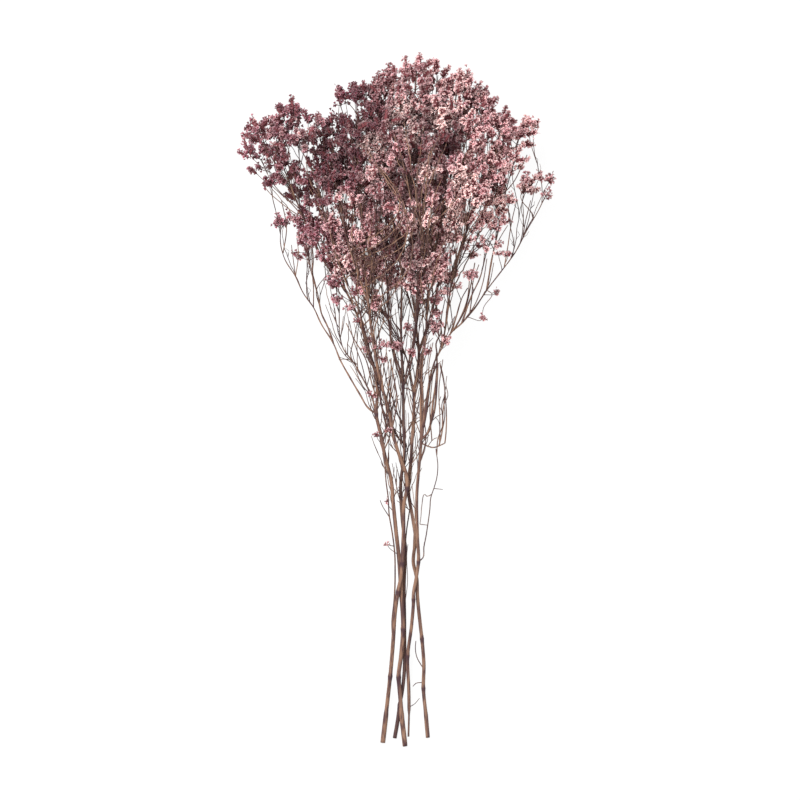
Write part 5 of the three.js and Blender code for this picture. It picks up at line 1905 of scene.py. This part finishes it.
def new_piece(name, shape, materials):
    """A finished piece at the origin, with its place in its mesh."""
    mesh = bpy.data.meshes.new(name)
    corners = lifted(np.vstack(shape.corners)) * MM
    faces = np.vstack(shape.faces)
    mesh.from_pydata(corners.tolist(), [], faces.tolist())
    tones = mesh.attributes.new("tone", "FLOAT_COLOR", "POINT")
    tones.data.foreach_set("color", np.vstack(shape.tones).astype(np.float32).ravel())
    kinds = np.concatenate(shape.kinds)
    mesh.polygons.foreach_set("material_index", kinds.astype(np.int32))
    mesh.polygons.foreach_set("use_smooth", kinds == BARK)
    for one in materials:
        mesh.materials.append(one)
    mesh.update()
    piece = bpy.data.objects.new(name, mesh)
    bpy.context.scene.collection.objects.link(piece)
    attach(piece, BODY)
    return piece


def floret_materials(colours):
    """The materials of a piece with florets: its stalks, and then its petals."""
    stalk = material("thin stalks", bark_material, colours.twig, colours)
    return [stalk, material("dry petals", petal_material, colours)]


class BUNCH_OT_stems(bpy.types.Operator):
    """Model the five stems, each with its limbs and twigs"""

    bl_idname = "bunch.stems"
    bl_label = "Stems"

    def execute(self, context):
        colours = context.scene.bunch_colours
        for number, name in enumerate(STEMS, 1):
            bark = material(f"bark {number}", bark_material, getattr(colours, f"bark_{number}"), colours)
            piece = new_piece(f"branch_{number}", stem_shape(name), [bark])
            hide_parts(name)
        return {"FINISHED"}


class BUNCH_OT_sprays(bpy.types.Operator):
    """Model each flower spray: its stalks and its papery florets"""

    bl_idname = "bunch.sprays"
    bl_label = "Flower sprays"

    def execute(self, context):
        materials = floret_materials(context.scene.bunch_colours)
        for spray in bunch()["sprays"]:
            number = spray["name"][-2:]
            piece = new_piece(f"blossom_{number}", spray_shape(spray), materials)
            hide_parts(spray["name"])
        return {"FINISHED"}


class BUNCH_OT_small_panicles(bpy.types.Operator):
    """Model the small panicles on long thin twigs that fill the crown of each stem"""

    bl_idname = "bunch.small_panicles"
    bl_label = "Small panicles"

    def execute(self, context):
        materials = floret_materials(context.scene.bunch_colours)
        for number, name in enumerate(STEMS, 1):
            piece = new_piece(f"small_panicles_{number}", filling_shape(name), materials)
        return {"FINISHED"}


class BUNCH_OT_small_clusters(bpy.types.Operator):
    """Model the small flower clusters that stand on the stems below the crown"""

    bl_idname = "bunch.small_clusters"
    bl_label = "Small clusters"

    def execute(self, context):
        materials = floret_materials(context.scene.bunch_colours)
        piece = new_piece("small_clusters", cluster_shape(), materials)
        return {"FINISHED"}


def add_floor(stage):
    deselect_all()
    bpy.ops.mesh.primitive_plane_add(size=FLOOR_SIZE, location=(0, 0, 0))
    floor = bpy.context.object
    floor.name = "floor"
    floor.data.materials.append(floor_material(stage.floor))


def add_sky(stage):
    world = bpy.data.worlds.new("soft sky")
    world.use_nodes = True
    sky = world.node_tree.nodes["Background"]
    sky.inputs["Color"].default_value = (1, 1, 1, 1)
    sky.inputs["Strength"].default_value = stage.sky
    bpy.context.scene.world = world


def add_key_light(stage):
    """A soft square light that looks at the crown."""
    bpy.ops.object.light_add(type="AREA", location=KEY_PLACE)
    light = bpy.context.object
    light.name = "key"
    light.data.size = KEY_SIZE
    light.data.energy = stage.key
    x, y, z = np.array(KEY_PLACE) - KEY_AIM
    light.rotation_euler = (math.atan2(math.hypot(x, y), z), 0, math.atan2(x, -y))


def add_camera(stage):
    """The camera looks straight down on the bunch."""
    height = stage.field * stage.lens / SENSOR + FIELD_HEIGHT
    bpy.ops.object.camera_add(location=(*CAMERA_PLACE, height), rotation=(0, 0, 0))
    camera = bpy.context.object
    camera.data.lens = stage.lens
    camera.data.clip_end = FAR_END
    bpy.context.scene.camera = camera


class BUNCH_OT_stage(bpy.types.Operator):
    """Set up the pale floor, the soft light and the camera"""

    bl_idname = "bunch.stage"
    bl_label = "Stage"

    def execute(self, context):
        stage = context.scene.bunch_stage
        add_floor(stage)
        add_sky(stage)
        add_key_light(stage)
        add_camera(stage)
        context.scene.view_settings.view_transform = "Standard"
        return {"FINISHED"}


STEPS = (BUNCH_OT_stems, BUNCH_OT_sprays, BUNCH_OT_small_panicles, BUNCH_OT_small_clusters, BUNCH_OT_stage)


class BUNCH_PT_panel(bpy.types.Panel):
    """Lists the steps that make the bunch"""

    bl_idname = "BUNCH_PT_panel"
    bl_label = "Dried Flower Bunch"
    bl_space_type = "VIEW_3D"
    bl_region_type = "UI"
    bl_category = "Bunch"

    def draw(self, context):
        for group in (context.scene.bunch_colours, context.scene.bunch_stage):
            box = self.layout.box()
            for name in type(group).__annotations__:
                box.prop(group, name)
        for step in STEPS:
            self.layout.operator(step.bl_idname)


CLASSES = (BunchColours, BunchStage, *STEPS, BUNCH_PT_panel)


def register():
    for one in CLASSES:
        bpy.utils.register_class(one)
    bpy.types.Scene.bunch_colours = bpy.props.PointerProperty(type=BunchColours)
    bpy.types.Scene.bunch_stage = bpy.props.PointerProperty(type=BunchStage)


def unregister():
    del bpy.types.Scene.bunch_stage
    del bpy.types.Scene.bunch_colours
    for one in reversed(CLASSES):
        bpy.utils.unregister_class(one)


def main():
    register()
    bpy.ops.bunch.stems()
    bpy.ops.bunch.sprays()
    bpy.ops.bunch.small_panicles()
    bpy.ops.bunch.small_clusters()
    bpy.ops.bunch.stage()


if __name__ == "__main__":
    main()
